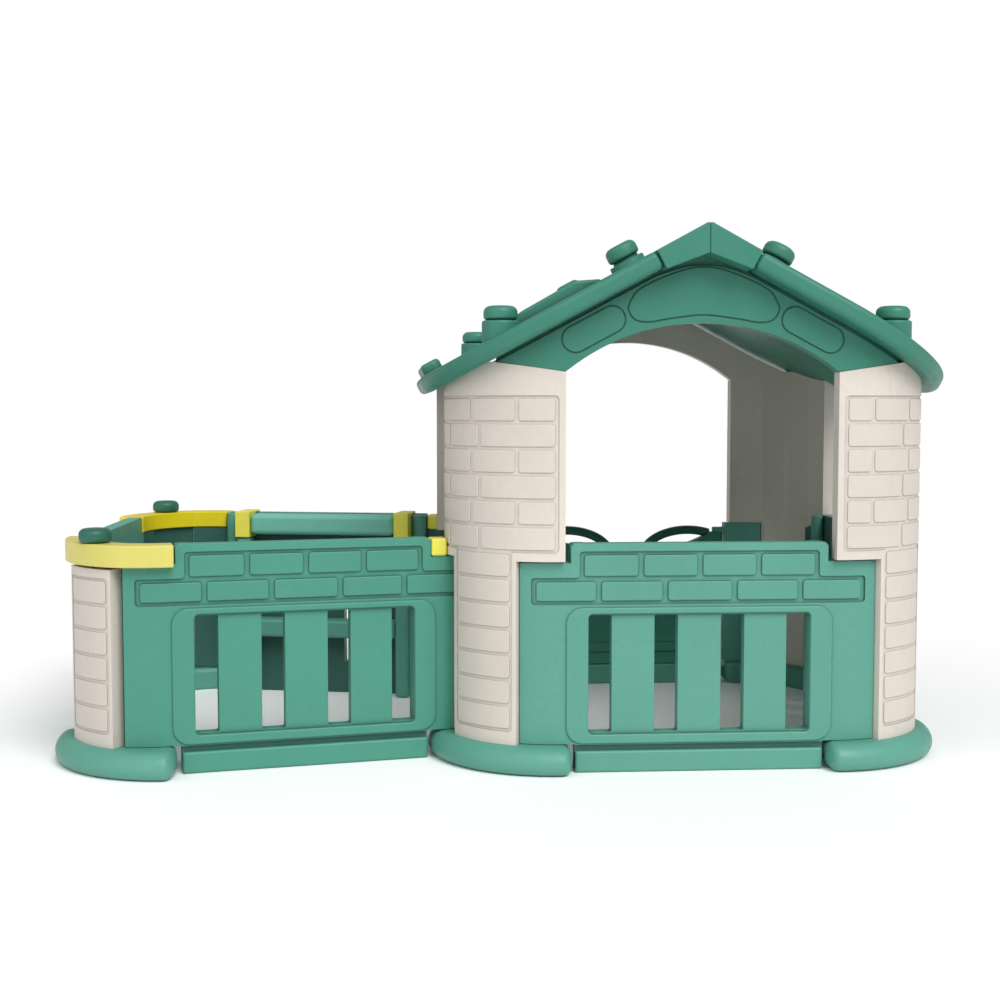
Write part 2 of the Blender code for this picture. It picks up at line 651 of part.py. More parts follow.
def build():
    clear_scene()
    coll = bpy.data.collections.new("plastic_playhouse")
    bpy.context.scene.collection.children.link(coll)

    # House posts and feet
    master = house_post()
    profile_loop = post_cap_profile()
    for name, turn in corner_turns():
        obj = mesh_object("post", master.data.copy())
        placed(obj, turn)
        combine(obj, upright([profile_loop], -0.2, 1.3), "INTERSECT")
        finish(obj, "corner_post_" + name, BEIGE, coll)
        finish(placed(foot(0.0260), turn), "foot_" + name, MINT, coll, True)
    bpy.data.objects.remove(master)

    # Low panels
    panel = low_panel()
    house_right = Matrix.Translation((0, CENTRE_Y, 0)) @ Matrix.Rotation(pi / 2, 4, "Z") @ Matrix.Translation((0, -CENTRE_Y, 0))
    side_mid = (
        PEN_FRONT_CORNER[0] - (0.2415 - PANEL_IN) * cos(PEN_TURN) + FLAT * sin(PEN_TURN),
        PEN_FRONT_CORNER[1] + (0.2415 - PANEL_IN) * sin(PEN_TURN) + FLAT * cos(PEN_TURN),
        -pi / 2 - PEN_TURN,
    )
    spots = {
        "low_panel_front": Matrix.Identity(4),
        "low_panel_right": house_right,
        "pen_panel_front": run_matrix(FRONT_RUN),
        "pen_panel_back": run_matrix(BACK_RUN),
        "pen_panel_side": run_matrix(side_mid),
    }
    for name, matrix in spots.items():
        obj = mesh_object("panel", panel.data.copy())
        finish(placed(obj, matrix), name, MINT, coll)
    bpy.data.objects.remove(panel)

    # Gables
    gable("gable_front", TEAL, coll, Matrix.Identity(4), 0.004)
    gable("gable_back", BEIGE, coll, half_turn(), 0.010)

    # Roof
    for side, word in ((-1, "left"), (1, "right")):
        finish(roof_slab(side), "roof_" + word, TEAL, coll)
    finish(ridge_cap(), "roof_ridge_cap", TEAL, coll)
    tilt = atan2(PITCH, 1)
    for side, word in ((-1, "left"), (1, "right")):
        for y, place in ((0.046, "front"), (WIDTH - 0.046, "back")):
            x = 0.4335
            z = RIDGE_Z - PITCH * x
            low = prism([arc((0, 0), 0.0415, 0, 334.3, 25.7)], -0.030, 0.0205)
            head = turned(
                [(0.0, 0.058), (0.0245, 0.0570), (0.0355, 0.047), (0.0370, 0.034), (0.030, 0.0262), (0.0, 0.0262)],
                14,
                Matrix.Identity(4),
            )
            head.data.transform(Matrix.Translation((0, 0, -0.0064)))
            combine(low, head, "UNION")
            cut = upright([[(-0.1, -0.2), (0.1, -0.2), (0.1, -PITCH * 0.1 + 0.0006), (-0.1, PITCH * 0.1 + 0.0006)]], -0.1, 0.1)
            combine(low, cut, "DIFFERENCE")
            placed(low, Matrix.Translation((x, y, z)))
            if side < 0:
                placed(low, Matrix.Scale(-1, 4, (1, 0, 0)))
            finish(low, "roof_bolt_lower_%s_%s" % (word, place), TEAL, coll, True)
            x = 0.1570
            z = RIDGE_Z - PITCH * x
            spot = Matrix.Translation((side * x, y, z)) @ Matrix.Rotation(side * tilt, 4, "Y") @ Matrix.Translation((0, 0, 0.0153))
            finish(knob(spot, 0.0355, 0.0150), "roof_bolt_upper_%s_%s" % (word, place), TEAL, coll, True)

    # Back doorway
    finish(door_jamb(1), "door_jamb_left", MINT, coll)
    finish(door_jamb(-1), "door_jamb_right", MINT, coll)
    finish(placed(threshold(True), half_turn()), "door_sill_back", MINT, coll)
    left_wall = Matrix.Translation((0, CENTRE_Y, 0)) @ Matrix.Rotation(-pi / 2, 4, "Z") @ Matrix.Translation((0, -CENTRE_Y, 0))
    finish(placed(threshold(False), left_wall), "door_sill_left", MINT, coll)
    for side, word in ((-1, "left"), (1, "right")):
        obj = leaf()
        if side < 0:
            placed(obj, Matrix.Scale(-1, 4, (1, 0, 0)))
        obj.location = (side * AXIS_X, HINGE_Y, 0)
        finish(obj, "door_leaf_" + word, TEAL, coll)
        pin = prism([arc((side * AXIS_X, HINGE_Y), PIN_R, 0, 330, 30)], 0.0363, 0.4452)
        finish(pin, "hinge_pin_" + word, STEEL, coll)

    # Pen corners
    for index, word in ((0, "front"), (1, "back")):
        matrix = pen_turn(index)
        angles = (POST_START + 3.2, 90 - POST_START) if index == 0 else (POST_START, 90 - POST_START - 3.2)
        finish(placed(pen_post(*angles), matrix), "pen_post_" + word, BEIGE, coll)
        finish(placed(foot(0.0212), matrix), "pen_foot_" + word, MINT, coll, True)
        finish(placed(pen_cap(index == 0), matrix), "pen_cap_" + word, YELLOW, coll)
        spot = (CORNER[0] - 0.2215 * cos(pi / 4), CORNER[1] - 0.2215 * sin(pi / 4))
        head = turned(
            [(0.0, 0.0320), (0.0255, 0.0295), (0.0355, 0.019), (0.0355, 0.006), (0.031, 0.0005), (0.0, 0.0005)],
            16,
            matrix @ Matrix.Translation((spot[0], spot[1], CAP_TOP)),
        )
        finish(head, "pen_cap_bolt_" + word, DEEP, coll, True)

    # Where the pen meets the house
    for run, word, flip, reach in ((FRONT_RUN, "front", False, (0.3195, 0.3235)), (BACK_RUN, "back", True, (0.3160, 0.3135))):
        sign = -1 if flip else 1
        lead = radians(90 - POST_START) + 0.0026
        inner = CORNER_R - POST_T
        outline = []
        for radius in (CORNER_R - 0.002, inner + 0.002):
            x = CORNER[0] - radius * sin(lead)
            y = CORNER[1] - radius * cos(lead)
            outline.append((x, WIDTH - y if flip else y))
        edge = panel_path(PANEL_IN - PANEL_BRICK_PROUD - 0.0008)[-3:]
        for x, y in reversed(edge):
            outline.append(along(run, sign * x, y - PANEL_IN))
        finish(prism([outline], PANEL_FOOT_Z, SHOULDER_Z), "pen_joint_post_" + word, BEIGE, coll)
        block = []
        for s, depth in ((TAB_HALF + 0.0008, -0.009), (reach[0], -0.009), (reach[1], 0.040), (TAB_HALF + 0.0008, 0.040)):
            block.append(along(run, sign * s, depth))
        cap = bevel(prism([block], SHOULDER_Z + GAP, 0.4985), 0.004, 1, 60)
        finish(cap, "pen_joint_cap_" + word, YELLOW, coll)

    # Play shelf that hangs on the pen's back panel
    local = Matrix.Translation((BACK_RUN[0], BACK_RUN[1], 0)) @ Matrix.Rotation(BACK_RUN[2], 4, "Z")
    near, far = PANEL_T + 0.0012, 0.0940
    top = bevel(box(-0.2020, 0.2020, near, far, 0.4430, 0.4995), 0.007, 2, 60)
    finish(placed(top, local), "shelf_top", MINT, coll)
    low = bevel(box(-0.2028, 0.2028, near, far, 0.1600, 0.2090), 0.005, 1, 60)
    finish(placed(low, local), "shelf_lower", MINT, coll)
    for sign, word in ((-1, "right"), (1, "left")):
        x0, x1 = sorted((sign * 0.2035, sign * 0.2425))
        leg = bevel(box(x0, x1, near, far - 0.002, 0.0, 0.4345), 0.008, 2, 60)
        finish(placed(leg, local), "shelf_leg_" + word, MINT, coll)
        side = [(near, 0.4350), (far + 0.003, 0.4350), (far + 0.003, 0.5060), (-0.0070, 0.5060), (-0.0070, 0.4800)]
        side += [(-0.0006, 0.4800), (-0.0006, PANEL_TOP + 0.0006), (near, PANEL_TOP + 0.0006)]
        hook = prism([side], x0 - 0.0005, x1 + 0.0005)
        hook.data.transform(Matrix(((0, 0, 1, 0), (1, 0, 0, 0), (0, 1, 0, 0), (0, 0, 0, 1))))
        flip_if_needed(hook.data)
        finish(placed(hook, local), "shelf_hook_" + word, YELLOW, coll)

    # The middle of the whole object's footprint becomes the origin
    bpy.context.view_layer.update()
    graph = bpy.context.evaluated_depsgraph_get()
    corners = []
    for obj in coll.objects:
        ready = obj.evaluated_get(graph)
        corners += [ready.matrix_world @ Vector(c) for c in ready.bound_box]
    shift = Vector()
    for axis in (0, 1):
        values = [c[axis] for c in corners]
        shift[axis] = -(min(values) + max(values)) / 2
    shift[2] = -min(c[2] for c in corners)
    for obj in coll.objects:
        obj.location += shift
    print("shift", tuple(round(v, 5) for v in shift), "nodes", len(coll.objects))


build()
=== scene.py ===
"""Looks of the plastic playhouse: finer mouldings, moulded plastics, soft light and a camera round the frame.

Everything is built in house coordinates, with the front wall on Y = 0 and the house's middle on X = 0, and
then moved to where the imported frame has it. One function builds one kind of moulding, and copies are turned
into place, as the real set repeats its panels, posts and feet.
"""

from math import asin, atan2, ceil, cos, degrees, hypot, pi, radians, sin

import bmesh
import bpy
from mathutils import Matrix, Vector


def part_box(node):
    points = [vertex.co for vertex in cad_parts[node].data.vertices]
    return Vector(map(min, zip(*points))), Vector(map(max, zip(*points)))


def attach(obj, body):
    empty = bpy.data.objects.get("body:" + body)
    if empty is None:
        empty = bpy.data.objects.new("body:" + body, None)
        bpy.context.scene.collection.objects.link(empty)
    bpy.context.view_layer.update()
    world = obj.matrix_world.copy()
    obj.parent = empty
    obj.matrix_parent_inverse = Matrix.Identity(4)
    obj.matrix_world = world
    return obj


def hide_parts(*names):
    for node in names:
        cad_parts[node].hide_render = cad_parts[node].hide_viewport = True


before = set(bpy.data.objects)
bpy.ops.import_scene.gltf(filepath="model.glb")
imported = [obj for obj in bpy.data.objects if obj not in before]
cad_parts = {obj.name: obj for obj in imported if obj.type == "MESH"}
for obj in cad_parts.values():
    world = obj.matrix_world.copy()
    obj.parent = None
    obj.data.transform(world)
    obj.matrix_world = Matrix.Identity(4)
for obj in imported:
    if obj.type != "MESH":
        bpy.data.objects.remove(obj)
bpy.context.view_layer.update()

# Fits and edges that many pieces share
TOUCH = 0.0003
SEAM = 0.0012
SHARP = 50
PANEL_EDGE = 0.0020
POST_EDGE = 0.0028
SMALL_EDGE = 0.0022

# House plan
WIDTH = 1.096
CORNER_R = 0.2400
BRICK_PROUD = 0.0025
POST_T = 0.038
HALF = WIDTH / 2
ROUND_AT = 0.2415
FLAT = HALF - ROUND_AT
CENTRE_Y = HALF
CORNER = (-FLAT, ROUND_AT)
ARM = 0.0095

# Low panel
PANEL_IN = 0.019
PANEL_T = 0.032
PANEL_END = 22.6
POST_START = 23.1
PANEL_TOP = 0.500
SHOULDER_Z = 0.4575
TAB_HALF = 0.283
SKIRT_HALF = 0.2735
FOOT_TOP = 0.060
SLOTS = ((0.0475, 0.0990), (0.1930, 0.2440))
SLOT_Z = (0.086, 0.3435)
FRAME_HALF = 0.2932
FRAME_Z = (0.0620, 0.3605)
FRAME_R = 0.036
FRAME_PROUD = 0.0078
FIELD_PROUD = 0.0035
BOSS_S = 0.2632
BOSS_R = 0.0193
OPEN_HALF = 0.2445
OPEN_Z = (0.0825, 0.3465)
GROOVE_HALF = 0.2900
GROOVE_Z = (0.0470, 0.0590)
SKIRT_NEAR = 0.007
SKIRT_TOP = 0.0475
BRICK_ROW_1 = ((-0.2537, -0.1356), (-0.1233, -0.0062), (0.0062, 0.1233), (0.1356, 0.2537))
BRICK_ROW_2 = ((-0.358, -0.228), (-0.2159, -0.0826), (-0.0701, 0.0701), (0.0826, 0.2159), (0.228, 0.358))
BRICK_ROWS = ((BRICK_ROW_1, 0.4285, 0.4745), (BRICK_ROW_2, 0.3745, 0.4165))
STEP_LOW_Z = 0.3665
STEP_MID_Z = 0.4252
STEP_TOP_Z = 0.4825
STEP_WIDE = 0.3685
STEP_NARROW = 0.2637

# Posts
ARM_Z = 0.4618
ROW = 0.0556
JOINT = 0.0072
UPPER_ROWS_Z = 0.4865
LOWER_ROWS_Z = 0.0945
UPPER_ROWS = 6
LOWER_ROWS = 7
PEN_ROWS = 6
UPPER_ODD = ((3.0, 22.0), (24.0, 50.4), (52.2, 87.0))
UPPER_EVEN = ((3.0, 44.4), (46.2, 71.8), (73.6, 87.0))
LEG_BRICK = ((27.0, 63.0),)
PEN_POST_TOP = 0.4465

# Feet: section as (distance from the corner's centre, height), and the middle that its tips shrink to
FOOT_SECTION = (
    (0.1760, 0.0000),
    (0.2580, 0.0000),
    (0.2690, 0.0028),
    (0.2765, 0.0090),
    (0.2804, 0.0180),
    (0.2812, 0.0265),
    (0.2796, 0.0360),
    (0.2750, 0.0450),
    (0.2680, 0.0525),
    (0.2590, 0.0575),
    (0.2480, 0.0597),
    (0.2380, 0.0600),
    (0.1850, 0.0600),
    (0.1765, 0.0580),
    (0.1715, 0.0530),
    (0.1700, 0.0460),
    (0.1700, 0.0110),
    (0.1722, 0.0040),
)
FOOT_MID = (0.2256, 0.0300)
FOOT_TIP = 0.0240
FOOT_TIP_TURNS = (6, 13, 21, 30, 40, 50, 60, 70, 80, 89)
FOOT_TIP_POWER = 2.4
HOUSE_FOOT_END = 0.0260
PEN_FOOT_END = 0.0212

# Gables and roof
ARCH_HALF = 0.2975
SPRING_Z = 0.869
ARCH_TOP = 0.9745
RIDGE_Z = 1.183
PITCH = 0.535
TILT = atan2(PITCH, 1)
ROOF_T = 0.046
EAVE = 0.6075
ROOF_FRONT = -0.058
SEAM_TOP = 0.1135
SEAM_LOW = 0.0925
ARM_HALF = 0.2935
GABLE_RISE = 0.13
GABLE_LOW = {"front": 0.0085, "back": 0.010}
BOLT_Y = 0.046
LOWER_BOLT_X = {"left": 0.4335, "right": 0.4275}
UPPER_BOLT_X = 0.1570
UPPER_BOLT_LIFT = 0.0153
BOLT_SINK = {"front": (0.0, 0.0), "back": (0.0085, 0.0040)}

# Swing leaves
AXIS_X = 0.262
LEAF_T = 0.030
LEAF_Z = (0.0585, 0.4346)
SILL_Z = 0.056
PIN_R = 0.0050
HINGE_Y = WIDTH - PANEL_IN - PANEL_T / 2
BORE_R = PIN_R + TOUCH
HOOP_R = 0.0125

# Pen
RUN_TURN = radians(12.6)
FRONT_RUN = (-0.8583, 0.1249, RUN_TURN)
BACK_RUN = (-0.8435, 1.0086, pi - RUN_TURN)
PEN_TURN = radians(0.8)
PEN_CORNER = (-1.1520, 0.2590)
PEN_SIDE = 2 * FLAT
PEN_POST_CUT = 5.2
CAP_TOP = 0.5005
CAP_PROUD = 0.0095
CAP_DEPTH = 0.054
LIP_DEPTH = 0.0150
LIP_LOW = 0.4525
CAP_BOLT_R = 0.2215
LINER_LAP = 3.0
LINER_PROUD = 0.0022

# Shelf
SHELF_NEAR = PANEL_T + SEAM
SHELF_FAR = 0.0940
SHELF_LEG = (0.2035, 0.2425)
SHELF_LEG_TOP = 0.4345

# Camera, in house coordinates
EYE = (-0.6608, -3.1972, 0.8001)
EYE_YAW = 0.0696
EYE_PITCH = 0.0674
LENS = 54.12
SHIFT_Y = 0.0058
AMBIENT = 0.41
BACKDROP = 1.0
KEY_LAMP = ((1.1, -2.6, 2.9), 40, 2.45)
FILL_LAMP = ((-2.6, -2.4, 1.9), 70, 0.63)

ridge_low, ridge_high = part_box("roof_ridge_cap")
HOUSE = Matrix.Translation(((ridge_low.x + ridge_high.x) / 2, (ridge_low.y + ridge_high.y) / 2 - CENTRE_Y, 0))
HALF_TURN = (
    Matrix.Translation((0, CENTRE_Y, 0)) @ Matrix.Rotation(pi, 4, "Z") @ Matrix.Translation((0, -CENTRE_Y, 0))
)
MIRROR = Matrix.Scale(-1, 4, (1, 0, 0))


# ---------------------------------------------------------------- materials


def plastic(name, colour, rough, grain=1.0, recess_shade=0.55, wear=1.12):
    """Blow-moulded plastic: mottled colour, painted shade in recesses, rubbed edges, fine grain and orange
    peel.
    """
    made = bpy.data.materials.new(name)
    made.use_nodes = True
    made.diffuse_color = (*colour, 1)
    tree = made.node_tree
    nodes, links = tree.nodes, tree.links
    shader = nodes["Principled BSDF"]
    shader.inputs["Specular IOR Level"].default_value = 0.42
    coords = nodes.new("ShaderNodeTexCoord")

    def noise(scale, detail, roughness=0.5):
        node = nodes.new("ShaderNodeTexNoise")
        node.inputs["Scale"].default_value = scale
        node.inputs["Detail"].default_value = detail
        node.inputs["Roughness"].default_value = roughness
        links.new(coords.outputs["Object"], node.inputs["Vector"])
        return node

    def ramp(source, low, high, dark, light):
        node = nodes.new("ShaderNodeMapRange")
        node.inputs["From Min"].default_value = low
        node.inputs["From Max"].default_value = high
        node.inputs["To Min"].default_value = dark
        node.inputs["To Max"].default_value = light
        links.new(source, node.inputs["Value"])
        return node.outputs["Result"]

    def scaled(first, second):
        node = nodes.new("ShaderNodeMath")
        node.operation = "MULTIPLY"
        links.new(first, node.inputs[0])
        links.new(second, node.inputs[1])
        return node.outputs[0]

    cloudy = ramp(noise(3.2, 3).outputs["Fac"], 0.3, 0.7, 0.955, 1.045)
    mottle = ramp(noise(55, 4, 0.65).outputs["Fac"], 0.25, 0.75, 0.965, 1.03)
    speck = ramp(noise(420, 2).outputs["Fac"], 0.3, 0.75, 0.975, 1.02)
    shade = scaled(scaled(cloudy, mottle), speck)
    geometry = nodes.new("ShaderNodeNewGeometry")
    rubbed = ramp(geometry.outputs["Pointiness"], 0.51, 0.58, 1.0, wear)
    shade = scaled(shade, rubbed)
    # Painted shade: ambient occlusion darkens the colour in grooves, creases and the gaps between parts.
    hollow = nodes.new("ShaderNodeAmbientOcclusion")
    hollow.samples = 8
    hollow.only_local = True
    hollow.inputs["Distance"].default_value = 0.018
    painted_recess_shade = ramp(hollow.outputs["AO"], 0.45, 0.93, 1.0 - recess_shade, 1.0)
    shade = scaled(shade, painted_recess_shade)
    tint = nodes.new("ShaderNodeMix")
    tint.data_type = "RGBA"
    tint.blend_type = "MULTIPLY"
    tint.inputs["Factor"].default_value = 1.0
    tint.inputs["A"].default_value = (*colour, 1)
    grey = nodes.new("ShaderNodeCombineColor")
    for socket in ("Red", "Green", "Blue"):
        links.new(shade, grey.inputs[socket])
    links.new(grey.outputs["Color"], tint.inputs["B"])
    links.new(tint.outputs["Result"], shader.inputs["Base Color"])

    sheen = ramp(noise(30, 4).outputs["Fac"], 0.3, 0.7, rough - 0.05, rough + 0.07)
    links.new(sheen, shader.inputs["Roughness"])

    peel = nodes.new("ShaderNodeBump")
    peel.inputs["Strength"].default_value = 0.06 * grain
    peel.inputs["Distance"].default_value = 0.0012
    links.new(noise(85, 3).outputs["Fac"], peel.inputs["Height"])
    fine = nodes.new("ShaderNodeBump")
    fine.inputs["Strength"].default_value = 0.22 * grain
    fine.inputs["Distance"].default_value = 0.0003
    links.new(noise(900, 2).outputs["Fac"], fine.inputs["Height"])
    links.new(peel.outputs["Normal"], fine.inputs["Normal"])
    links.new(fine.outputs["Normal"], shader.inputs["Normal"])
    return made


MINT = plastic("mint_moulded", (0.0877, 0.2939, 0.2263), 0.46)
# Darker copy of the mint for the pen's front panel: painted shade for a face turned away from the key lamp.
SHADED_PEN_MINT = plastic("pen_mint_painted_shade", (0.0560, 0.2520, 0.1830), 0.46)
# Paler copy of the mint for the shelf's top bar: painted light for its lit front face.
LIT_MINT = plastic("mint_painted_light", (0.1447, 0.4254, 0.3377), 0.46)
# Darker copy of the mint for inner faces and the pen posts' liners: painted shade.
SHADED_MINT = plastic("mint_painted_shade", (0.0263, 0.1009, 0.0772), 0.46)
TEAL = plastic("teal_moulded", (0.0338, 0.1912, 0.1342), 0.44)
DEEP = plastic("deep_green_moulded", (0.0171, 0.1158, 0.0772), 0.42)
BEIGE = plastic("beige_moulded", (0.6053, 0.5456, 0.4895), 0.52, recess_shade=0.35, wear=1.06)
YELLOW = plastic("yellow_moulded", (0.7456, 0.6930, 0.0877), 0.40, recess_shade=0.35, wear=1.08)
# Two copies of the caps' one yellow, with painted light: paler for the front cap, deeper for the back one, as
# the light fell on each.
FRONT_CAP_LIT_YELLOW = plastic("front_cap_lit_yellow", (0.6272, 0.5746, 0.1360), 0.40, recess_shade=0.35, wear=1.06)
BACK_CAP_LIT_YELLOW = plastic("back_cap_lit_yellow", (0.7018, 0.5833, 0.0088), 0.40, recess_shade=0.35, wear=1.08)
PIN = plastic("pin_moulded", (0.0307, 0.0351, 0.0351), 0.38)


# ---------------------------------------------------------------- mesh tools


def mesh_object(name, mesh):
    obj = bpy.data.objects.new(name, mesh)
    bpy.context.scene.collection.objects.link(obj)
    return obj


def finished(work, name):
    """Turns a bmesh into an object, with its normals outwards."""
    bmesh.ops.recalc_face_normals(work, faces=work.faces)
    mesh = bpy.data.meshes.new(name)
    work.to_mesh(mesh)
    work.free()
    return mesh_object(name, mesh)


def skin(work, rings):
    """Quads between each ring of vertices and the next; every ring is closed."""
    for first, second in zip(rings, rings[1:]):
        for i in range(len(first)):
            k = (i + 1) % len(first)
            work.faces.new((first[i], first[k], second[k], second[i]))


def evaluated(obj, name):
    """The evaluated shape of an object as a new mesh, welded and with its normals outwards."""
    graph = bpy.context.evaluated_depsgraph_get()
    graph.update()
    mesh = bpy.data.meshes.new_from_object(obj.evaluated_get(graph))
    mesh.name = name
    work = bmesh.new()
    work.from_mesh(mesh)
    bmesh.ops.remove_doubles(work, verts=work.verts, dist=1e-6)
    bmesh.ops.dissolve_degenerate(work, dist=1e-6, edges=work.edges)
    bmesh.ops.recalc_face_normals(work, faces=work.faces)
    work.to_mesh(mesh)
    work.free()
    return mesh


def outwards(mesh):
    work = bmesh.new()
    work.from_mesh(mesh)
    bmesh.ops.recalc_face_normals(work, faces=work.faces)
    work.to_mesh(mesh)
    work.free()


def soften(obj, width, segments=3, angle=SHARP):
    """Merges flat triangles, rounds every edge sharper than the angle and keeps the result."""
    work = bmesh.new()
    work.from_mesh(obj.data)
    bmesh.ops.dissolve_limit(work, angle_limit=radians(0.6), verts=work.verts, edges=work.edges)
    work.to_mesh(obj.data)
    work.free()
    mod = obj.modifiers.new("bevel", "BEVEL")
    mod.width = width
    mod.segments = segments
    mod.limit_method = "ANGLE"
    mod.angle_limit = radians(angle)
    mod.use_clamp_overlap = True
    mod.miter_outer = "MITER_ARC"
    obj.data = evaluated(obj, obj.data.name)
    obj.modifiers.clear()
    return obj


def prism(loops, low, high):
    """A solid between two heights with the given outline; further loops are holes or separate islands."""
    curve = bpy.data.curves.new("outline", "CURVE")
    curve.dimensions = "2D"
    curve.fill_mode = "BOTH"
    curve.extrude = (high - low) / 2
    for loop in loops:
        spline = curve.splines.new("POLY")
        spline.points.add(len(loop) - 1)
        for point, (x, y) in zip(spline.points, loop):
            point.co = (x, y, 0, 1)
        spline.use_cyclic_u = True
    source = mesh_object("outline", curve)
    mesh = evaluated(source, "prism")
    bpy.data.objects.remove(source)
    mesh.transform(Matrix.Translation((0, 0, (low + high) / 2)))
    return mesh_object("prism", mesh)


def slab_between(x0, x1, y0, y1, low, high):
    return prism([[(x0, y0), (x1, y0), (x1, y1), (x0, y1)]], low, high)


def upright(loops, near, far):
    """A solid whose outline is drawn in X and Z and which runs along Y from near to far."""
    obj = prism(loops, near, far)
    obj.data.transform(Matrix(((1, 0, 0, 0), (0, 0, 1, 0), (0, 1, 0, 0), (0, 0, 0, 1))))
    outwards(obj.data)
    return obj


def combine(obj, tool, operation):
    mod = obj.modifiers.new("bool", "BOOLEAN")
    mod.operation = operation
    mod.solver = "EXACT"
    mod.object = tool
    mesh = evaluated(obj, obj.name)
    obj.modifiers.remove(mod)
    obj.data = mesh
    bpy.data.objects.remove(tool)
    return obj


def join(parts):
    work = bmesh.new()
    for part in parts:
        work.from_mesh(part.data)
        bpy.data.objects.remove(part)
    mesh = bpy.data.meshes.new("joined")
    work.to_mesh(mesh)
    work.free()
    return mesh_object("joined", mesh)


def placed(obj, matrix):
    obj.data.transform(matrix)
    if matrix.determinant() < 0:
        outwards(obj.data)
    return obj


def arc(centre, radius, start, stop, step=2.5):
    """Points round a circle, angles in degrees."""
    count = max(1, round(abs(stop - start) / step))
    points = []
    for i in range(count + 1):
        turn = radians(start + (stop - start) * i / count)
        points.append((centre[0] + radius * cos(turn), centre[1] + radius * sin(turn)))
    return points


def sector(centre, inner, outer, start, stop, low, high):
    loop = arc(centre, outer, start, stop) + arc(centre, inner, stop, start)
    return prism([loop], low, high)


def rounded(x0, x1, z0, z1, radius, steps=6):
    """Outline of a rectangle with round corners."""
    points = []
    for x, z, start in ((x1, z0, -90), (x1, z1, 0), (x0, z1, 90), (x0, z0, 180)):
        cx = x - radius if x == x1 else x + radius
        cz = z - radius if z == z1 else z + radius
        points += arc((cx, cz), radius, start, start + 90, 90 / steps)
    return points


def round_corners(loop, radius, steps=5):
    """The same outline with each of its corners, inner ones too, turned into a small arc."""
    points = []
    for i, spot in enumerate(loop):
        here = Vector(spot)
        back = Vector(loop[i - 1]) - here
        on = Vector(loop[(i + 1) % len(loop)]) - here
        cut = min(radius, back.length * 0.45, on.length * 0.45)
        start, stop = here + back.normalized() * cut, here + on.normalized() * cut
        for k in range(steps + 1):
            t = k / steps
            p = start * (1 - t) ** 2 + here * 2 * t * (1 - t) + stop * t * t
            points.append((p.x, p.y))
    return points


def grown(loop, distance):
    """The outline pushed outwards by a distance; the loop may run either way round."""
    area = sum(a[0] * b[1] - b[0] * a[1] for a, b in zip(loop, loop[1:] + loop[:1]))
    sign = 1 if area > 0 else -1
    points = []
    for i, (x, y) in enumerate(loop):
        ax, ay = loop[i - 1]
        bx, by = loop[(i + 1) % len(loop)]
        tx, ty = bx - ax, by - ay
        size = hypot(tx, ty) or 1
        points.append((x + sign * distance * ty / size, y - sign * distance * tx / size))
    return points


def smooth_loop(points, per=6):
    """A closed Catmull-Rom curve through the points."""
    result = []
    count = len(points)
    for i in range(count):
        p0, p1, p2, p3 = (Vector(points[(i + k - 1) % count]) for k in range(4))
        for k in range(per):
            t = k / per
            p = 0.5 * (2 * p1 + (p2 - p0) * t + (2 * p0 - 5 * p1 + 4 * p2 - p3) * t * t)
            p += 0.5 * (3 * p1 - p0 - 3 * p2 + p3) * t**3
            result.append((p.x, p.y))
    return result


def field(bend, x0, x1, z0, z1, corner, rings, step=0.010):
    """A round-cornered rectangle built up in rings of (inset, height), with every point laid on a surface."""
    work = bmesh.new()
    columns = max(1, ceil((x1 - x0 - 2 * corner) / step))
    loops = []
    for inset, out in rings:
        a0, a1, b0, b1 = x0 + inset, x1 - inset, z0 + inset, z1 - inset
        r = max(corner - inset, 0.0004)
        low = arc((a0 + r, b0 + r), r, 180, 270, 15)
        low += [(a0 + r + (a1 - a0 - 2 * r) * i / columns, b0) for i in range(1, columns)]
        low += arc((a1 - r, b0 + r), r, 270, 360, 15)
        high = [(s, b0 + b1 - z) for s, z in low]
        loops.append([[work.verts.new(bend(s, z, out)) for s, z in row] for row in (low, high)])
    skin(work, [low + high[::-1] for low, high in loops])
    for low, high in (loops[0], loops[-1]):
        for i in range(len(low) - 1):
            work.faces.new((low[i], low[i + 1], high[i + 1], high[i]))
    return finished(work, "field")


def moulding(outer, inner, front, back, edge):
    """A raised frame drawn in X and Z between two outlines of as many points, with rounded front edges."""
    work = bmesh.new()
    quarter_turn = [radians(a) for a in (0, 22, 45, 68, 90)]
    rows = [(outer, 0.0, back)]
    rows += [(outer, -edge * (1 - cos(a)), front + edge * (1 - sin(a))) for a in quarter_turn]
    rows += [(inner, edge * (1 - cos(a)), front + edge * (1 - sin(a))) for a in reversed(quarter_turn)]
    rows.append((inner, 0.0, back))
    rings = []
    for loop, out, depth in rows:
        rings.append([work.verts.new((x, depth, z)) for x, z in grown(loop, out)])
    skin(work, rings + rings[:1])
    return finished(work, "moulding")


def cushion_rings(base, rise, edge, sink=0.003):
    """Rings of a raised field: straight out of the surface, then a soft quarter round."""
    rings = [(0, base - sink), (0, base + rise * 0.35)]
    for turn in (25, 50, 72, 90):
        a = radians(turn)
        rings.append((edge * (1 - cos(a)), base + rise * (0.35 + 0.65 * sin(a))))
    return rings


def turned(profile, steps, place):
    """A solid of revolution from a profile that starts and ends on the axis."""
    work = bmesh.new()
    rings = []
    for r, z in profile:
        if r < 1e-6:
            rings.append([work.verts.new(place @ Vector((0, 0, z)))])
            continue
        ring = []
        for i in range(steps):
            a = 2 * pi * i / steps
            ring.append(work.verts.new(place @ Vector((r * cos(a), r * sin(a), z))))
        rings.append(ring)
    for first, second in zip(rings, rings[1:]):
        for i in range(steps):
            k = (i + 1) % steps
            loop = [first[i % len(first)], first[k % len(first)]]
            loop += [second[k % len(second)], second[i % len(second)]]
            work.faces.new(list(dict.fromkeys(loop)))
    return finished(work, "turned")


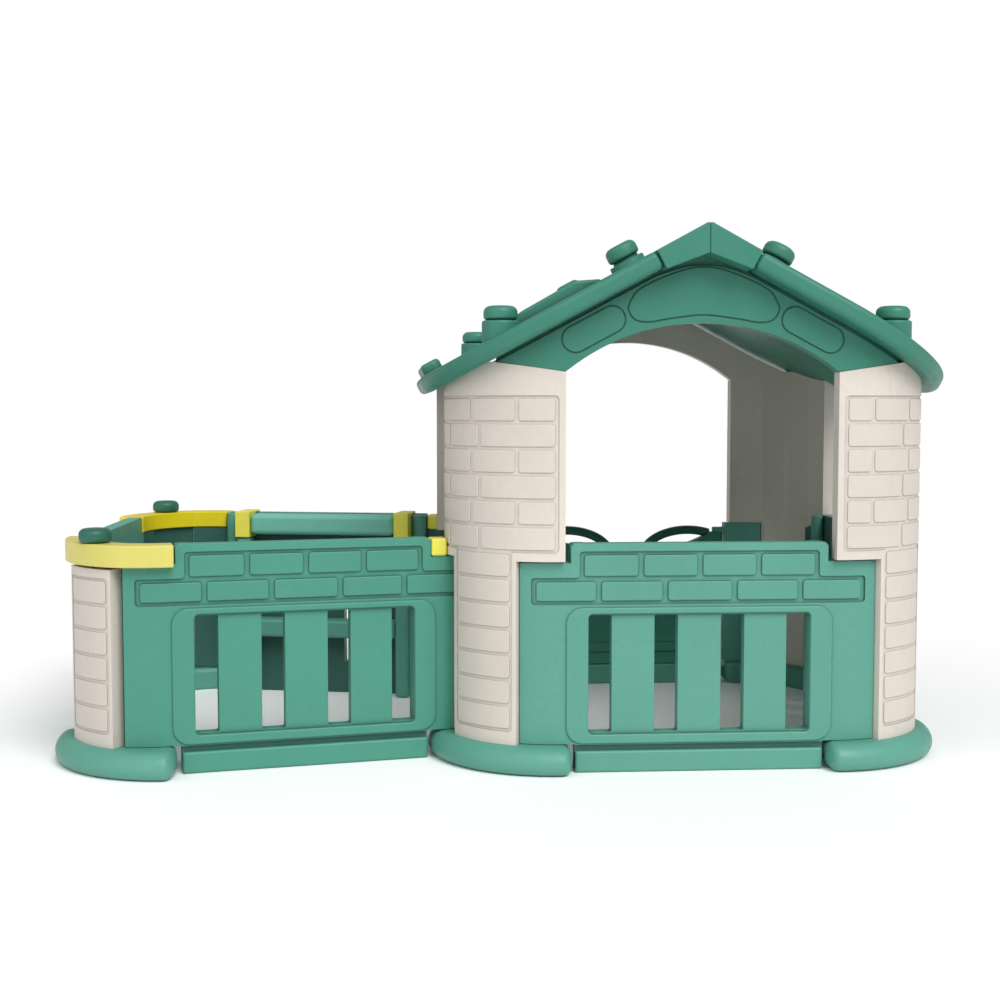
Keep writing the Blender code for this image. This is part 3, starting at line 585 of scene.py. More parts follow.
def tube(points, radius, sides=16):
    """A round bar along a path in X and Z, closed flat at both ends."""
    work = bmesh.new()
    rings = []
    spots = [Vector(p) for p in points]
    for i, spot in enumerate(spots):
        ahead = spots[min(i + 1, len(spots) - 1)] - spots[max(i - 1, 0)]
        ahead.normalize()
        side = Vector((0, 1, 0))
        up = side.cross(ahead).normalized()
        ring = []
        for k in range(sides):
            a = 2 * pi * k / sides
            ring.append(work.verts.new(spot + side * radius * cos(a) + up * radius * sin(a)))
        rings.append(ring)
    skin(work, rings)
    work.faces.new(rings[0])
    work.faces.new(rings[-1])
    return finished(work, "tube")


def piece(obj, node, suffix, look, body="house"):
    """Moves a finished shape to the frame, gives it its plastic and lets it stand for its node."""
    obj.name = node + "_" + suffix
    obj.data.name = obj.name
    obj.data.transform(HOUSE)
    obj.data.materials.clear()
    obj.data.materials.append(look)
    obj.data.shade_smooth()
    obj.data.set_sharp_from_angle(angle=radians(38))
    mod = obj.modifiers.new("weighted", "WEIGHTED_NORMAL")
    mod.keep_sharp = True
    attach(obj, body)
    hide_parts(node)
    return obj


def copied(obj, matrix):
    return placed(mesh_object("copy", obj.data.copy()), matrix)


# ---------------------------------------------------------------- posts and feet


def corner_turns():
    """The four house corners as turns of the front left one about the house's middle."""
    pivot = Matrix.Translation((0, CENTRE_Y, 0))
    for name, turn in (("front_left", 0), ("front_right", 90), ("back_right", 180), ("back_left", 270)):
        yield name, pivot @ Matrix.Rotation(radians(turn), 4, "Z") @ pivot.inverted()


def on_corner(s, z, out):
    """Point on the post's round face; s is the angle in radians from the front face times the radius."""
    a = radians(270) - s / CORNER_R
    return Vector((CORNER[0] + (CORNER_R + out) * cos(a), CORNER[1] + (CORNER_R + out) * sin(a), z))


def bricks(spans, low):
    made = []
    for start, stop in spans:
        made.append(
            field(
                on_corner,
                radians(start) * CORNER_R,
                radians(stop) * CORNER_R,
                low,
                low + ROW - JOINT,
                0.007,
                cushion_rings(0, BRICK_PROUD, 0.0022, 0.002),
            )
        )
    return made


def recess(start, stop, rows_z, rows, margin=0.0065):
    """Cutter for the shallow field that some rows of bricks stand in, the lowest one at rows_z."""
    low, high = rows_z - margin, rows_z + rows * ROW - 0.0010
    rings = ((0, 0), (0, 0.008))
    return field(on_corner, radians(start) * CORNER_R, radians(stop) * CORNER_R, low, high, 0.011, rings)


def house_post(swap):
    """Front left post: a wide part round the whole corner on a narrower leg, with brick fields."""
    face = CORNER_R + BRICK_PROUD
    inner = CORNER_R - POST_T
    x, y = CORNER
    upper = [(x + ARM, y - face)] + arc(CORNER, face, 270, 180)
    upper += [(x - face, y + ARM), (x - inner, y + ARM)]
    upper += arc(CORNER, inner, 180, 270) + [(x + ARM, y - inner)]
    body = prism([upper], ARM_Z, 0.97)
    leg = sector(CORNER, inner, face, 270 - POST_START, 180 + POST_START, FOOT_TOP - 0.02, ARM_Z + 0.02)
    combine(body, leg, "UNION")
    combine(body, recess(1.0, 89.0, UPPER_ROWS_Z, UPPER_ROWS, 0.0060), "DIFFERENCE")
    combine(body, recess(25.4, 64.6, LOWER_ROWS_Z, LOWER_ROWS), "DIFFERENCE")
    made = []
    for row in range(UPPER_ROWS):
        even = (row % 2 == 0) != swap
        made += bricks(UPPER_EVEN if even else UPPER_ODD, UPPER_ROWS_Z + row * ROW)
    for row in range(LOWER_ROWS):
        made += bricks(LEG_BRICK, LOWER_ROWS_Z + row * ROW)
    return body, join(made)


def gable_low(x):
    """Height of the gable's lower edge over a post."""
    return SPRING_Z + GABLE_RISE * max(0.0, abs(x) - ARM_HALF)


def roof_under(x):
    return RIDGE_Z - ROOF_T - PITCH * abs(x) - 0.0006


def gable_end(low_top):
    """Distance from the middle at which the gable's upper and lower edges would meet."""
    return (roof_under(0) - low_top - SPRING_Z + GABLE_RISE * ARM_HALF) / (PITCH + GABLE_RISE)


def post_cap_profile():
    """The space that a post may fill: under the gable's edge, then up into the roof's underside."""
    meet = gable_end(0)
    right = [(0.2, gable_low(0) - TOUCH), (ARM_HALF, gable_low(ARM_HALF) - TOUCH)]
    right += [(meet, roof_under(meet) + 0.0020), (0.60, roof_under(0.60) + 0.0020)]
    left = [(-x, z) for x, z in reversed(right)]
    return [(-0.60, -0.1), (0.60, -0.1)] + list(reversed(right)) + list(reversed(left))


def foot(end):
    """Front left foot: a fat banana swept round the corner, domed outwards, with round tips.

    It runs a quarter turn round the corner and then on, straight, by the given end on both sides.
    """
    work = bmesh.new()
    reach = pi / 2 * FOOT_MID[0]
    stops = [-end + FOOT_TIP * (1 - cos(radians(a))) for a in FOOT_TIP_TURNS]
    stops = [q for q in stops if q < 0.004]
    span = reach - 2 * stops[-1]
    middle = [stops[-1] + span * i / 30 for i in range(1, 30)]
    rows = []
    for q in stops + middle + [reach - p for p in reversed(stops)]:
        near = min(q + end, reach + end - q)
        k = 1.0
        if near < FOOT_TIP:
            k = (1 - (1 - near / FOOT_TIP) ** FOOT_TIP_POWER) ** (1 / FOOT_TIP_POWER)
        a = min(max(q, 0.0), reach) / FOOT_MID[0]
        out = Vector((-sin(a), -cos(a), 0))
        along_tip = Vector((-cos(a), sin(a), 0)) * (q - min(max(q, 0.0), reach))
        row = []
        for r, z in FOOT_SECTION:
            radial = FOOT_MID[0] + (r - FOOT_MID[0]) * k
            height = FOOT_MID[1] + (z - FOOT_MID[1]) * k
            spot = Vector((CORNER[0], CORNER[1], height)) + out * radial + along_tip
            row.append(work.verts.new(spot))
        rows.append(row)
    skin(work, rows)
    work.faces.new(rows[0])
    work.faces.new(rows[-1])
    return finished(work, "foot")


def build_posts():
    profile = post_cap_profile()
    masters = {swap: house_post(swap) for swap in (False, True)}
    banana = foot(HOUSE_FOOT_END)
    for name, turn in corner_turns():
        body, made = masters[name == "front_right"]
        shell = copied(body, turn)
        combine(shell, upright([profile], -0.2, 1.3), "INTERSECT")
        soften(shell, POST_EDGE)
        piece(join([shell, copied(made, turn)]), "corner_post_" + name, "shell", BEIGE)
        piece(copied(banana, turn), "foot_" + name, "pad", MINT)
    for body, made in masters.values():
        bpy.data.objects.remove(body)
        bpy.data.objects.remove(made)
    bpy.data.objects.remove(banana)


# ---------------------------------------------------------------- low panels


def panel_path(offset, end=PANEL_END):
    """Plan of the low panel's face at a distance behind the posts' outer face, left to right."""
    radius = ROUND_AT - offset
    left = arc((-FLAT, ROUND_AT), radius, 270 - end, 270)
    right = arc((FLAT, ROUND_AT), radius, 270, 270 + end)
    return left + right


def on_panel(s, z, out):
    """Point on the panel's face, s along it from the middle, out from the plane behind the bricks."""
    depth = PANEL_IN - out
    if abs(s) <= FLAT:
        return Vector((s, depth, z))
    side = 1 if s > 0 else -1
    radius = ROUND_AT - depth
    a = (abs(s) - FLAT) / (ROUND_AT - PANEL_IN)
    return Vector((side * (FLAT + radius * sin(a)), ROUND_AT - radius * cos(a), z))


def panel_depth(spot):
    """How far a point lies behind the posts' outer face, also round the panel's curved ends."""
    if abs(spot.x) <= FLAT:
        return spot.y
    return ROUND_AT - hypot(abs(spot.x) - FLAT, ROUND_AT - spot.y)


def low_panel(bosses):
    """Half-height panel whose posts' outer face is the plane Y = 0."""
    face = panel_path(PANEL_IN - FIELD_PROUD)
    back = panel_path(PANEL_IN + PANEL_T)
    body = prism([face + list(reversed(back))], -0.01, 0.52)
    foot_z = FOOT_TOP + 0.001
    outline = [(-SKIRT_HALF, 0.0), (SKIRT_HALF, 0.0), (SKIRT_HALF, foot_z), (0.42, foot_z)]
    outline += [(0.42, SHOULDER_Z), (TAB_HALF, SHOULDER_Z)]
    outline += [(TAB_HALF, PANEL_TOP - 0.007), (TAB_HALF - 0.007, PANEL_TOP)]
    outline += [(-x, z) for x, z in reversed(outline[4:])] + [(-0.42, foot_z), (-SKIRT_HALF, foot_z)]
    holes = []
    for near, far in SLOTS:
        for side in (-1, 1):
            x0, x1 = sorted((side * near, side * far))
            holes.append(rounded(x0, x1, SLOT_Z[0], SLOT_Z[1], 0.004, 3))
    combine(body, upright([outline] + holes, -0.05, 0.12), "INTERSECT")
    step = [(-STEP_WIDE, STEP_LOW_Z), (STEP_WIDE, STEP_LOW_Z), (STEP_WIDE, STEP_MID_Z)]
    step += [(STEP_NARROW, STEP_MID_Z), (STEP_NARROW, STEP_TOP_Z), (-STEP_NARROW, STEP_TOP_Z)]
    step += [(-STEP_NARROW, STEP_MID_Z), (-STEP_WIDE, STEP_MID_Z)]
    layer = prism([panel_path(-0.02) + list(reversed(panel_path(PANEL_IN + SEAM)))], -0.02, 0.53)
    inside = rounded(-OPEN_HALF - 0.0050, OPEN_HALF + 0.0050, OPEN_Z[0] - 0.0025, OPEN_Z[1] + 0.0030, 0.012)
    combine(layer, upright([round_corners(step, 0.009), inside], -0.08, 0.10), "INTERSECT")
    combine(body, layer, "DIFFERENCE")
    groove = upright([rounded(-GROOVE_HALF, GROOVE_HALF, *GROOVE_Z, 0.004)], -0.05, 0.0235)
    combine(body, groove, "DIFFERENCE")
    soften(body, PANEL_EDGE)
    parts = [body]
    for row, z0, z1 in BRICK_ROWS:
        for x0, x1 in row:
            parts.append(field(on_panel, x0, x1, z0, z1, 0.006, cushion_rings(0, FIELD_PROUD, 0.003)))
    outer = rounded(-FRAME_HALF, FRAME_HALF, *FRAME_Z, FRAME_R, 10)
    inner = rounded(-OPEN_HALF, OPEN_HALF, *OPEN_Z, 0.010, 10)
    parts.append(moulding(outer, inner, PANEL_IN - FRAME_PROUD, PANEL_IN + 0.006, 0.0035))
    parts.append(soften(slab_between(-SKIRT_HALF, SKIRT_HALF, SKIRT_NEAR, 0.040, 0.0, SKIRT_TOP), 0.0060, 5))
    for side in bosses:
        centre = (side * BOSS_S, PANEL_IN + PANEL_T + 0.010)
        parts.append(soften(prism([arc(centre, BOSS_R, 0, 348, 12)], foot_z, PANEL_TOP - 0.0015), 0.003))
    return join(parts)


def run_matrix(run):
    """Places the low panel so that its outer face's middle is at run and its outside looks outwards."""
    x, y, heading = run
    turn = Matrix.Rotation(heading, 4, "Z")
    return Matrix.Translation((x, y, 0)) @ turn @ Matrix.Translation((0, -PANEL_IN, 0))


def quarter(turns):
    """Takes the front wall to another wall of the house."""
    pivot = Matrix.Translation((0, CENTRE_Y, 0))
    return pivot @ Matrix.Rotation(turns * pi / 2, 4, "Z") @ pivot.inverted()


def build_panels():
    """Five copies of one panel; the inner faces that show to the front get a darker mint, which is painted
    shade.
    """
    panel = low_panel((-1, 1))
    one_boss = low_panel((1,))
    side_mid = (
        PEN_CORNER[0] - (ROUND_AT - PANEL_IN) * cos(PEN_TURN) + FLAT * sin(PEN_TURN),
        PEN_CORNER[1] + (ROUND_AT - PANEL_IN) * sin(PEN_TURN) + FLAT * cos(PEN_TURN),
        -pi / 2 - PEN_TURN,
    )
    spots = {
        "low_panel_front": Matrix.Identity(4),
        "low_panel_right": quarter(1),
        "pen_panel_front": run_matrix(FRONT_RUN),
        "pen_panel_back": run_matrix(BACK_RUN),
        "pen_panel_side": run_matrix(side_mid),
    }
    for name, matrix in spots.items():
        master = one_boss if name == "pen_panel_side" else panel
        shell = copied(master, matrix)
        depths = [panel_depth(face.center) for face in master.data.polygons]
        ends = [face.center.x < -FLAT for face in master.data.polygons]
        # The pen's front panel takes the darker mint of painted shade.
        piece(shell, name, "shell", SHADED_PEN_MINT if name == "pen_panel_front" else MINT)
        if name in ("pen_panel_front", "low_panel_front"):
            continue
        # Painted shade: the inner back faces, and on the pen's side panel only its back end, take the darker
        # mint.
        shell.data.materials.append(SHADED_MINT)
        for face, depth, end in zip(shell.data.polygons, depths, ends):
            if abs(depth - PANEL_IN - PANEL_T) < 0.0009 and (end or name != "pen_panel_side"):
                face.material_index = 1
    bpy.data.objects.remove(panel)
    bpy.data.objects.remove(one_boss)


# ---------------------------------------------------------------- gables and roof


def gable(name, look, matrix, low_top, sealed):
    """Curved gable over a window or doorway: arch below, roof line above, three outlined fields.

    Its flat top lies low_top under the roof; a sealed one has a tongue that closes that gap.
    """
    end = gable_end(low_top) - 0.006
    top = [(-end, roof_under(end) - low_top)]
    for i in range(17):
        x = -0.104 + 0.208 * i / 16
        top.append((x, roof_under(0.104) - low_top + 0.0245 * sin(pi * i / 16)))
    top.append((end, roof_under(end) - low_top))
    foot_z = gable_low(ARCH_HALF) + TOUCH
    rise = ARCH_TOP - SPRING_Z
    radius = (ARCH_HALF**2 + rise**2) / (2 * rise)
    half = degrees(asin(ARCH_HALF / radius))
    arch = arc((0, ARCH_TOP - radius), radius, 90 + half, 90 - half, 1.8)
    arch[0], arch[-1] = (-ARCH_HALF, foot_z), (ARCH_HALF, foot_z)
    tip_z = gable_low(end) + TOUCH
    low = [(end, tip_z)] + list(reversed(arch)) + [(-end, tip_z)]
    body = upright([top + low], -0.02, 0.30)
    inner = CORNER_R - POST_T
    outer_path = arc((FLAT, ROUND_AT), CORNER_R, 320, 270) + arc((-FLAT, ROUND_AT), CORNER_R, 270, 220)
    inner_path = arc((-FLAT, ROUND_AT), inner, 220, 270) + arc((FLAT, ROUND_AT), inner, 270, 320)
    ring = prism([outer_path + inner_path], 0.80, 1.20)
    combine(ring, body, "INTERSECT")
    right = [(0.0, 1.0930), (0.033, 1.0900), (0.088, 1.0715), (0.139, 1.0460), (0.158, 1.0215)]
    right += [(0.163, 1.0020), (0.148, 0.9800), (0.117, 0.9757), (0.073, 0.9830)]
    lens = smooth_loop(right + [(0.0, 0.9910)] + [(-x, z) for x, z in reversed(right[1:])])
    shapes = [lens]
    for side in (-1, 1):
        slope = -side * TILT
        loop = arc((0.044, 0), 0.0290, -90, 90, 10) + arc((-0.044, 0), 0.0290, 90, 270, 10)
        moved = []
        for x, z in loop:
            across, up = x * cos(slope) - z * sin(slope), x * sin(slope) + z * cos(slope)
            moved.append((side * 0.2375 + across, 0.960 + up))
        shapes.append(moved)
    face = ROUND_AT - CORNER_R
    combine(ring, upright([grown(s, 0.0020) for s in shapes], -0.02, face + 0.0026), "DIFFERENCE")
    soften(ring, 0.0018)
    parts = [ring]
    if sealed:
        side = [(0.088, 1.0880), (end, roof_under(end) + 0.0030)]
        side += [(end, roof_under(end) - 0.014), (0.104, 1.0600)]
        tongue = [(0.0, 1.1195)] + side + [(0.0, 1.0900)] + [(-x, z) for x, z in reversed(side)]
        outer, behind = CORNER_R - 0.013, inner + 0.004
        plan = arc((FLAT, ROUND_AT), outer, 318, 270) + arc((-FLAT, ROUND_AT), outer, 270, 222)
        plan += arc((-FLAT, ROUND_AT), behind, 222, 270) + arc((FLAT, ROUND_AT), behind, 270, 318)
        parts.append(combine(prism([plan], 0.80, 1.20), upright([tongue], -0.02, 0.30), "INTERSECT"))
    pads = upright([grown(s, -0.0009) for s in shapes], face - 0.0006, face + 0.012)
    soften(pads, SMALL_EDGE)
    piece(placed(join(parts + [pads]), matrix), name, "shell", look)


def roof_slab(side):
    """One slope: a slab with round corners in plan, cut square to the slope at the ridge cap's seam."""
    length = (EAVE - SEAM_TOP) / cos(TILT)
    far = WIDTH - ROOF_FRONT
    radius = 0.330
    loop = [(0.0, ROOF_FRONT)]
    loop += arc((length - radius, ROOF_FRONT + radius), radius, 270, 360, 3)
    loop += arc((length - radius, far - radius), radius, 0, 90, 3)
    loop += [(0.0, far)]
    thick = ROOF_T * cos(TILT)
    slab = soften(prism([loop], -thick, 0.0), 0.0135, 6, 60)
    section = [(0.104, -0.010), (0.108, 0.003), (0.160, 0.0263)]
    section += [(0.300, 0.0225), (0.326, 0.003), (0.331, -0.010)]
    raised = soften(upright([section], 0.092, 1.004), 0.0110, 5, 25)
    lip = prism([rounded(length - 0.066, length - 0.018, 0.330, 0.766, 0.020)], -0.010, 0.024)
    soften(lip, 0.0090, 4, 60)
    parts = [slab, raised, lip]
    place = Matrix.Translation((SEAM_TOP, 0, RIDGE_Z - PITCH * SEAM_TOP)) @ Matrix.Rotation(TILT, 4, "Y")
    whole = placed(join(parts), place)
    return placed(whole, MIRROR) if side < 0 else whole


def ridge_cap():
    """Two mirrored halves, so that a crease runs down the front and along the top where they meet."""
    gap = 0.0008
    seam_z = RIDGE_Z - PITCH * SEAM_TOP
    loop = [
        (0.0, 1.1175),
        (SEAM_LOW - gap, seam_z - 0.0390),
        (SEAM_TOP - gap, seam_z),
        (0.006, RIDGE_Z - 0.0025),
        (0.0, RIDGE_Z - 0.0025),
    ]
    half = soften(upright([loop], ROOF_FRONT - 0.002, WIDTH - ROOF_FRONT + 0.002), 0.0024, 3, 35)
    return join([copied(half, MIRROR), half])


def head_profile(r, bottom, top):
    """Half section of a mushroom head with a soft crown and a small dish, from its crown to its underside."""
    height = top - bottom
    points = [(0.0, top - 0.0015), (r * 0.40, top - 0.0003), (r * 0.50, top)]
    edge = min(r * 0.42, height * 0.48)
    for turn in (90, 70, 50, 30, 10):
        a = radians(turn)
        points.append((r - edge + edge * cos(a), top - edge + edge * sin(a)))
    for turn in (0, -30, -60, -90):
        a = radians(turn)
        points.append((r - edge * 0.55 + edge * 0.55 * cos(a), bottom + edge * 0.55 + edge * 0.55 * sin(a)))
    return points


def lower_bolt():
    """Bolt that stands upright on a round collar cut to the slope; its origin is on the roof."""
    collar = prism([arc((0, 0), 0.0405, 0, 350, 10)], -0.030, 0.0285)
    below = [(-0.1, -0.2), (0.1, -0.2), (0.1, -PITCH * 0.1 - 0.004), (-0.1, PITCH * 0.1 - 0.004)]
    combine(collar, upright([below], -0.1, 0.1), "DIFFERENCE")
    soften(collar, 0.0110, 6)
    profile = head_profile(0.0370, 0.0290, 0.0600) + [(0.0295, 0.0280), (0.0295, 0.010), (0.0, 0.010)]
    return join([collar, turned(profile, 40, Matrix.Identity(4))])


def upper_bolt():
    """Bolt that stands square to the slope, on a washer."""
    profile = head_profile(0.0355, 0.0010, 0.0340) + [(0.0290, -0.0005), (0.0290, -0.0040)]
    profile += [(0.0375, -0.0042), (0.0392, -0.0060), (0.0396, -0.0150), (0.0, -0.0150)]
    return turned(profile, 40, Matrix.Identity(4))


def build_roof():
    gable("gable_front", TEAL, Matrix.Identity(4), GABLE_LOW["front"], True)
    gable("gable_back", BEIGE, HALF_TURN, GABLE_LOW["back"], False)
    for side, word in ((-1, "left"), (1, "right")):
        piece(roof_slab(side), "roof_" + word, "slab", TEAL)
    piece(ridge_cap(), "roof_ridge_cap", "cap", TEAL)
    low, high = lower_bolt(), upper_bolt()
    for side, word in ((-1, "left"), (1, "right")):
        for y, place in ((BOLT_Y, "front"), (WIDTH - BOLT_Y, "back")):
            low_sink, high_sink = BOLT_SINK[place]
            x = LOWER_BOLT_X[word]
            spot = Matrix.Translation((x, y, RIDGE_Z - PITCH * x - low_sink))
            if side < 0:
                spot = MIRROR @ spot
            piece(copied(low, spot), "roof_bolt_lower_%s_%s" % (word, place), "knob", TEAL)
            x = UPPER_BOLT_X
            spot = Matrix.Translation((side * x, y, RIDGE_Z - PITCH * x))
            spot = spot @ Matrix.Rotation(side * TILT, 4, "Y")
            spot = spot @ Matrix.Translation((0, 0, UPPER_BOLT_LIFT - high_sink))
            piece(copied(high, spot), "roof_bolt_upper_%s_%s" % (word, place), "knob", TEAL)
    bpy.data.objects.remove(low)
    bpy.data.objects.remove(high)


# ---------------------------------------------------------------- back doorway


def door_jamb(side):
    """Narrow upright between a back post and the doorway, with an eye for the hinge pin at its top."""
    near, far = PANEL_IN, PANEL_IN + PANEL_T
    face = [(0.2795, near)] + arc((FLAT, ROUND_AT), ROUND_AT - near, 270, 270 + PANEL_END)
    back = [(0.2795, far)] + arc((FLAT, ROUND_AT), ROUND_AT - far, 270, 270 + PANEL_END)
    body = prism([face + list(reversed(back))], FOOT_TOP + 0.001, ARM_Z - 0.0004)
    mid = (near + far) / 2
    loop = arc((AXIS_X, mid), 0.015, 90, 270, 10) + [(0.2815, mid - 0.015), (0.2815, mid + 0.015)]
    combine(body, prism([loop], LEAF_Z[1] + 0.0008, 0.4480), "UNION")
    combine(body, prism([arc((AXIS_X, mid), BORE_R, 0, 345, 15)], 0.43, 0.4455), "DIFFERENCE")
    soften(body, SMALL_EDGE)
    if side < 0:
        placed(body, MIRROR)
    return placed(body, HALF_TURN)


def threshold(pinned):
    """Low sill between two feet, in front-wall coordinates, with sockets for the hinge pins if asked for."""
    body = slab_between(-SKIRT_HALF, SKIRT_HALF, SKIRT_NEAR, PANEL_IN + PANEL_T, 0.0, SILL_Z)
    soften(body, 0.0060, 4)
    if pinned:
        mid = PANEL_IN + PANEL_T / 2
        bores = [prism([arc((s * AXIS_X, mid), BORE_R, 0, 345, 15)], 0.036, 0.09) for s in (-1, 1)]
        combine(body, join(bores), "DIFFERENCE")
    return body


def leaf():
    """Right swing leaf about its own hinge axis: plate with a swooping top, raised panel and grooves."""
    low, high = LEAF_Z
    hinge = arc((0, 0), LEAF_T / 2, -90, 90, 9)
    tip = -(AXIS_X - 0.008)
    plan = hinge + arc((tip + 0.006, LEAF_T / 2 - 0.006), 0.006, 90, 180, 18)
    plan += arc((tip + 0.006, -LEAF_T / 2 + 0.006), 0.006, 180, 270, 18)
    body = prism([plan], 0.0, 0.6)
    top = [(0.02, high), (-0.018, high), (-0.026, 0.4325), (-0.034, 0.4285), (-0.043, 0.4230)]
    top += [(-0.052, 0.4180), (-0.066, 0.4120), (-0.080, 0.4065), (-0.102, 0.4005), (-0.125, 0.3960)]
    top += [(-0.155, 0.3925)]
    top += [(-0.185, 0.3905), (-0.225, 0.3885), (-0.27, 0.3870)]
    combine(body, upright([[(-0.27, low), (0.02, low)] + top], -0.05, 0.05), "INTERSECT")
    for side in (-1, 1):
        y0, y1 = sorted((side * 0.0125, side * 0.03))
        combine(body, upright([rounded(-0.30, 0.05, 0.0885, 0.0935, 0.0024, 3)], y0, y1), "DIFFERENCE")
    combine(body, prism([arc((0, 0), BORE_R, 0, 345, 15)], 0.0, 0.6), "DIFFERENCE")
    soften(body, SMALL_EDGE)
    panel = upright([rounded(-0.225, -0.040, 0.120, 0.350, 0.020, 8)], -0.018, 0.018)
    return join([body, soften(panel, 0.0026)])


def hoop():
    """Round bar that arches over a leaf's low top."""
    path = []
    for i in range(33):
        turn = radians(168 - 106 * i / 32)
        path.append((-0.0870 + 0.1290 * cos(turn), 0.0, 0.3640 + 0.0765 * sin(turn)))
    return tube(path, HOOP_R)


def build_doorway():
    piece(door_jamb(1), "door_jamb_left", "shell", MINT)
    piece(door_jamb(-1), "door_jamb_right", "shell", MINT)
    piece(placed(threshold(True), HALF_TURN), "door_sill_back", "shell", MINT)
    piece(placed(threshold(False), quarter(-1)), "door_sill_left", "shell", MINT)
    for side, word in ((-1, "left"), (1, "right")):
        spot = Matrix.Translation((side * AXIS_X, HINGE_Y, 0))
        if side < 0:
            spot = spot @ MIRROR
        node = "door_leaf_" + word
        piece(placed(leaf(), spot), node, "shell", TEAL, "leaf_" + word)
        piece(placed(hoop(), spot), node, "hoop", DEEP, "leaf_" + word)
        pin = prism([arc((side * AXIS_X, HINGE_Y), PIN_R, 0, 345, 15)], 0.0363, 0.4452)
        piece(soften(pin, 0.001, 2), "hinge_pin_" + word, "rod", PIN)


# ---------------------------------------------------------------- pen


def pen_turn(corner_index):
    """Takes the front left house corner to a pen corner: 0 is the front one, 1 the back one."""
    x, y = PEN_CORNER
    if corner_index:
        x += PEN_SIDE * sin(PEN_TURN)
        y += PEN_SIDE * cos(PEN_TURN)
    turn = Matrix.Rotation(-PEN_TURN - corner_index * pi / 2, 4, "Z")
    return Matrix.Translation((x, y, 0)) @ turn @ Matrix.Translation((-CORNER[0], -CORNER[1], 0))


def pen_post(start, stop):
    """Low brick post between two turns of the corner, in degrees from the front face."""
    inner = CORNER_R - POST_T
    face = CORNER_R + BRICK_PROUD
    body = sector(CORNER, inner, face, 270 - start, 270 - stop, FOOT_TOP - 0.02, PEN_POST_TOP)
    combine(body, recess(start + 2.0, stop - 2.0, LOWER_ROWS_Z, PEN_ROWS), "DIFFERENCE")
    soften(body, POST_EDGE)
    made = []
    for row in range(PEN_ROWS):
        made += bricks(((start + 3.6, stop - 3.6),), LOWER_ROWS_Z + row * ROW)
    return join([body] + made)


def cap_path(offset, first):
    """Plan of the yellow corner cap at a distance behind the posts' face, from tab to tab."""
    radius = ROUND_AT - offset
    x, y = CORNER
    pivot = (x + ROUND_AT * cos(radians(270 - PANEL_END)), y + ROUND_AT * sin(radians(270 - PANEL_END)))
    straight = [(x + 0.0190, y - radius)] + arc(CORNER, radius, 270, 270 - PANEL_END)
    kinked = []
    for px, py in straight:
        dx, dy = px - pivot[0], py - pivot[1]
        across, back = dx * cos(RUN_TURN) - dy * sin(RUN_TURN), dx * sin(RUN_TURN) + dy * cos(RUN_TURN)
        kinked.append((pivot[0] + across, pivot[1] + back))
    middle = arc(CORNER, radius, 270 - PANEL_END - 5, 180 + PANEL_END)
    last = arc(CORNER, radius, 180 + PANEL_END - 2.5, 180) + [(x - radius, y + 0.0200)]
    path = kinked + middle + last
    if not first:
        path = [(CORNER[0] + (q - CORNER[1]), CORNER[1] + (p - CORNER[0])) for p, q in path]
    return path


def pen_cap(first):
    """Yellow cap that fills the panels' notches and covers the post, with a lip down the outside."""
    face = cap_path(-CAP_PROUD, first)
    top = prism([face + list(reversed(cap_path(CAP_DEPTH, first)))], SHOULDER_Z + 0.0008, CAP_TOP)
    lip = prism([face + list(reversed(cap_path(LIP_DEPTH, first)))], LIP_LOW, SHOULDER_Z + 0.004)
    return soften(combine(top, lip, "UNION"), 0.0090, 6)


def along(run, s, depth):
    """World point at s along a run's panel, depth behind its outer face."""
    x, y, heading = run
    return (x + s * cos(heading) - depth * sin(heading), y + s * sin(heading) + depth * cos(heading))


def pen_corner(index, word):
    """A pen corner: brick post, a thin liner behind it in the darker mint of painted shade, foot, yellow cap
    and its bolt.
    """
    matrix = pen_turn(index)
    start, stop = POST_START, 90 - POST_START
    if index == 0:
        start += PEN_POST_CUT
    else:
        stop -= PEN_POST_CUT
    piece(placed(pen_post(start, stop), matrix), "pen_post_" + word, "shell", BEIGE)
    inner = CORNER_R - POST_T
    turns = (270 - start + LINER_LAP, 270 - stop - LINER_LAP)
    # The liner is a thin sheet whose darker mint is painted shade on the post's inside.
    shade_liner = sector(CORNER, inner - LINER_PROUD, inner + 0.003, *turns, 0.062, SHOULDER_Z)
    piece(placed(soften(shade_liner, 0.0010, 2), matrix), "pen_post_" + word, "shade_liner", SHADED_MINT)
    piece(placed(foot(PEN_FOOT_END), matrix), "pen_foot_" + word, "pad", MINT)
    # Each pen cap takes its own copy of the yellow, with painted light.
    look = BACK_CAP_LIT_YELLOW if index else FRONT_CAP_LIT_YELLOW
    piece(placed(pen_cap(index == 0), matrix), "pen_cap_" + word, "lid", look)
    x, y = CORNER[0] - CAP_BOLT_R * cos(pi / 4), CORNER[1] - CAP_BOLT_R * sin(pi / 4)
    profile = head_profile(0.0355, 0.0015, 0.0320) + [(0.028, 0.0004), (0.0, 0.0004)]
    head = turned(profile, 40, matrix @ Matrix.Translation((x, y, CAP_TOP)))
    piece(head, "pen_cap_bolt_" + word, "knob", DEEP)


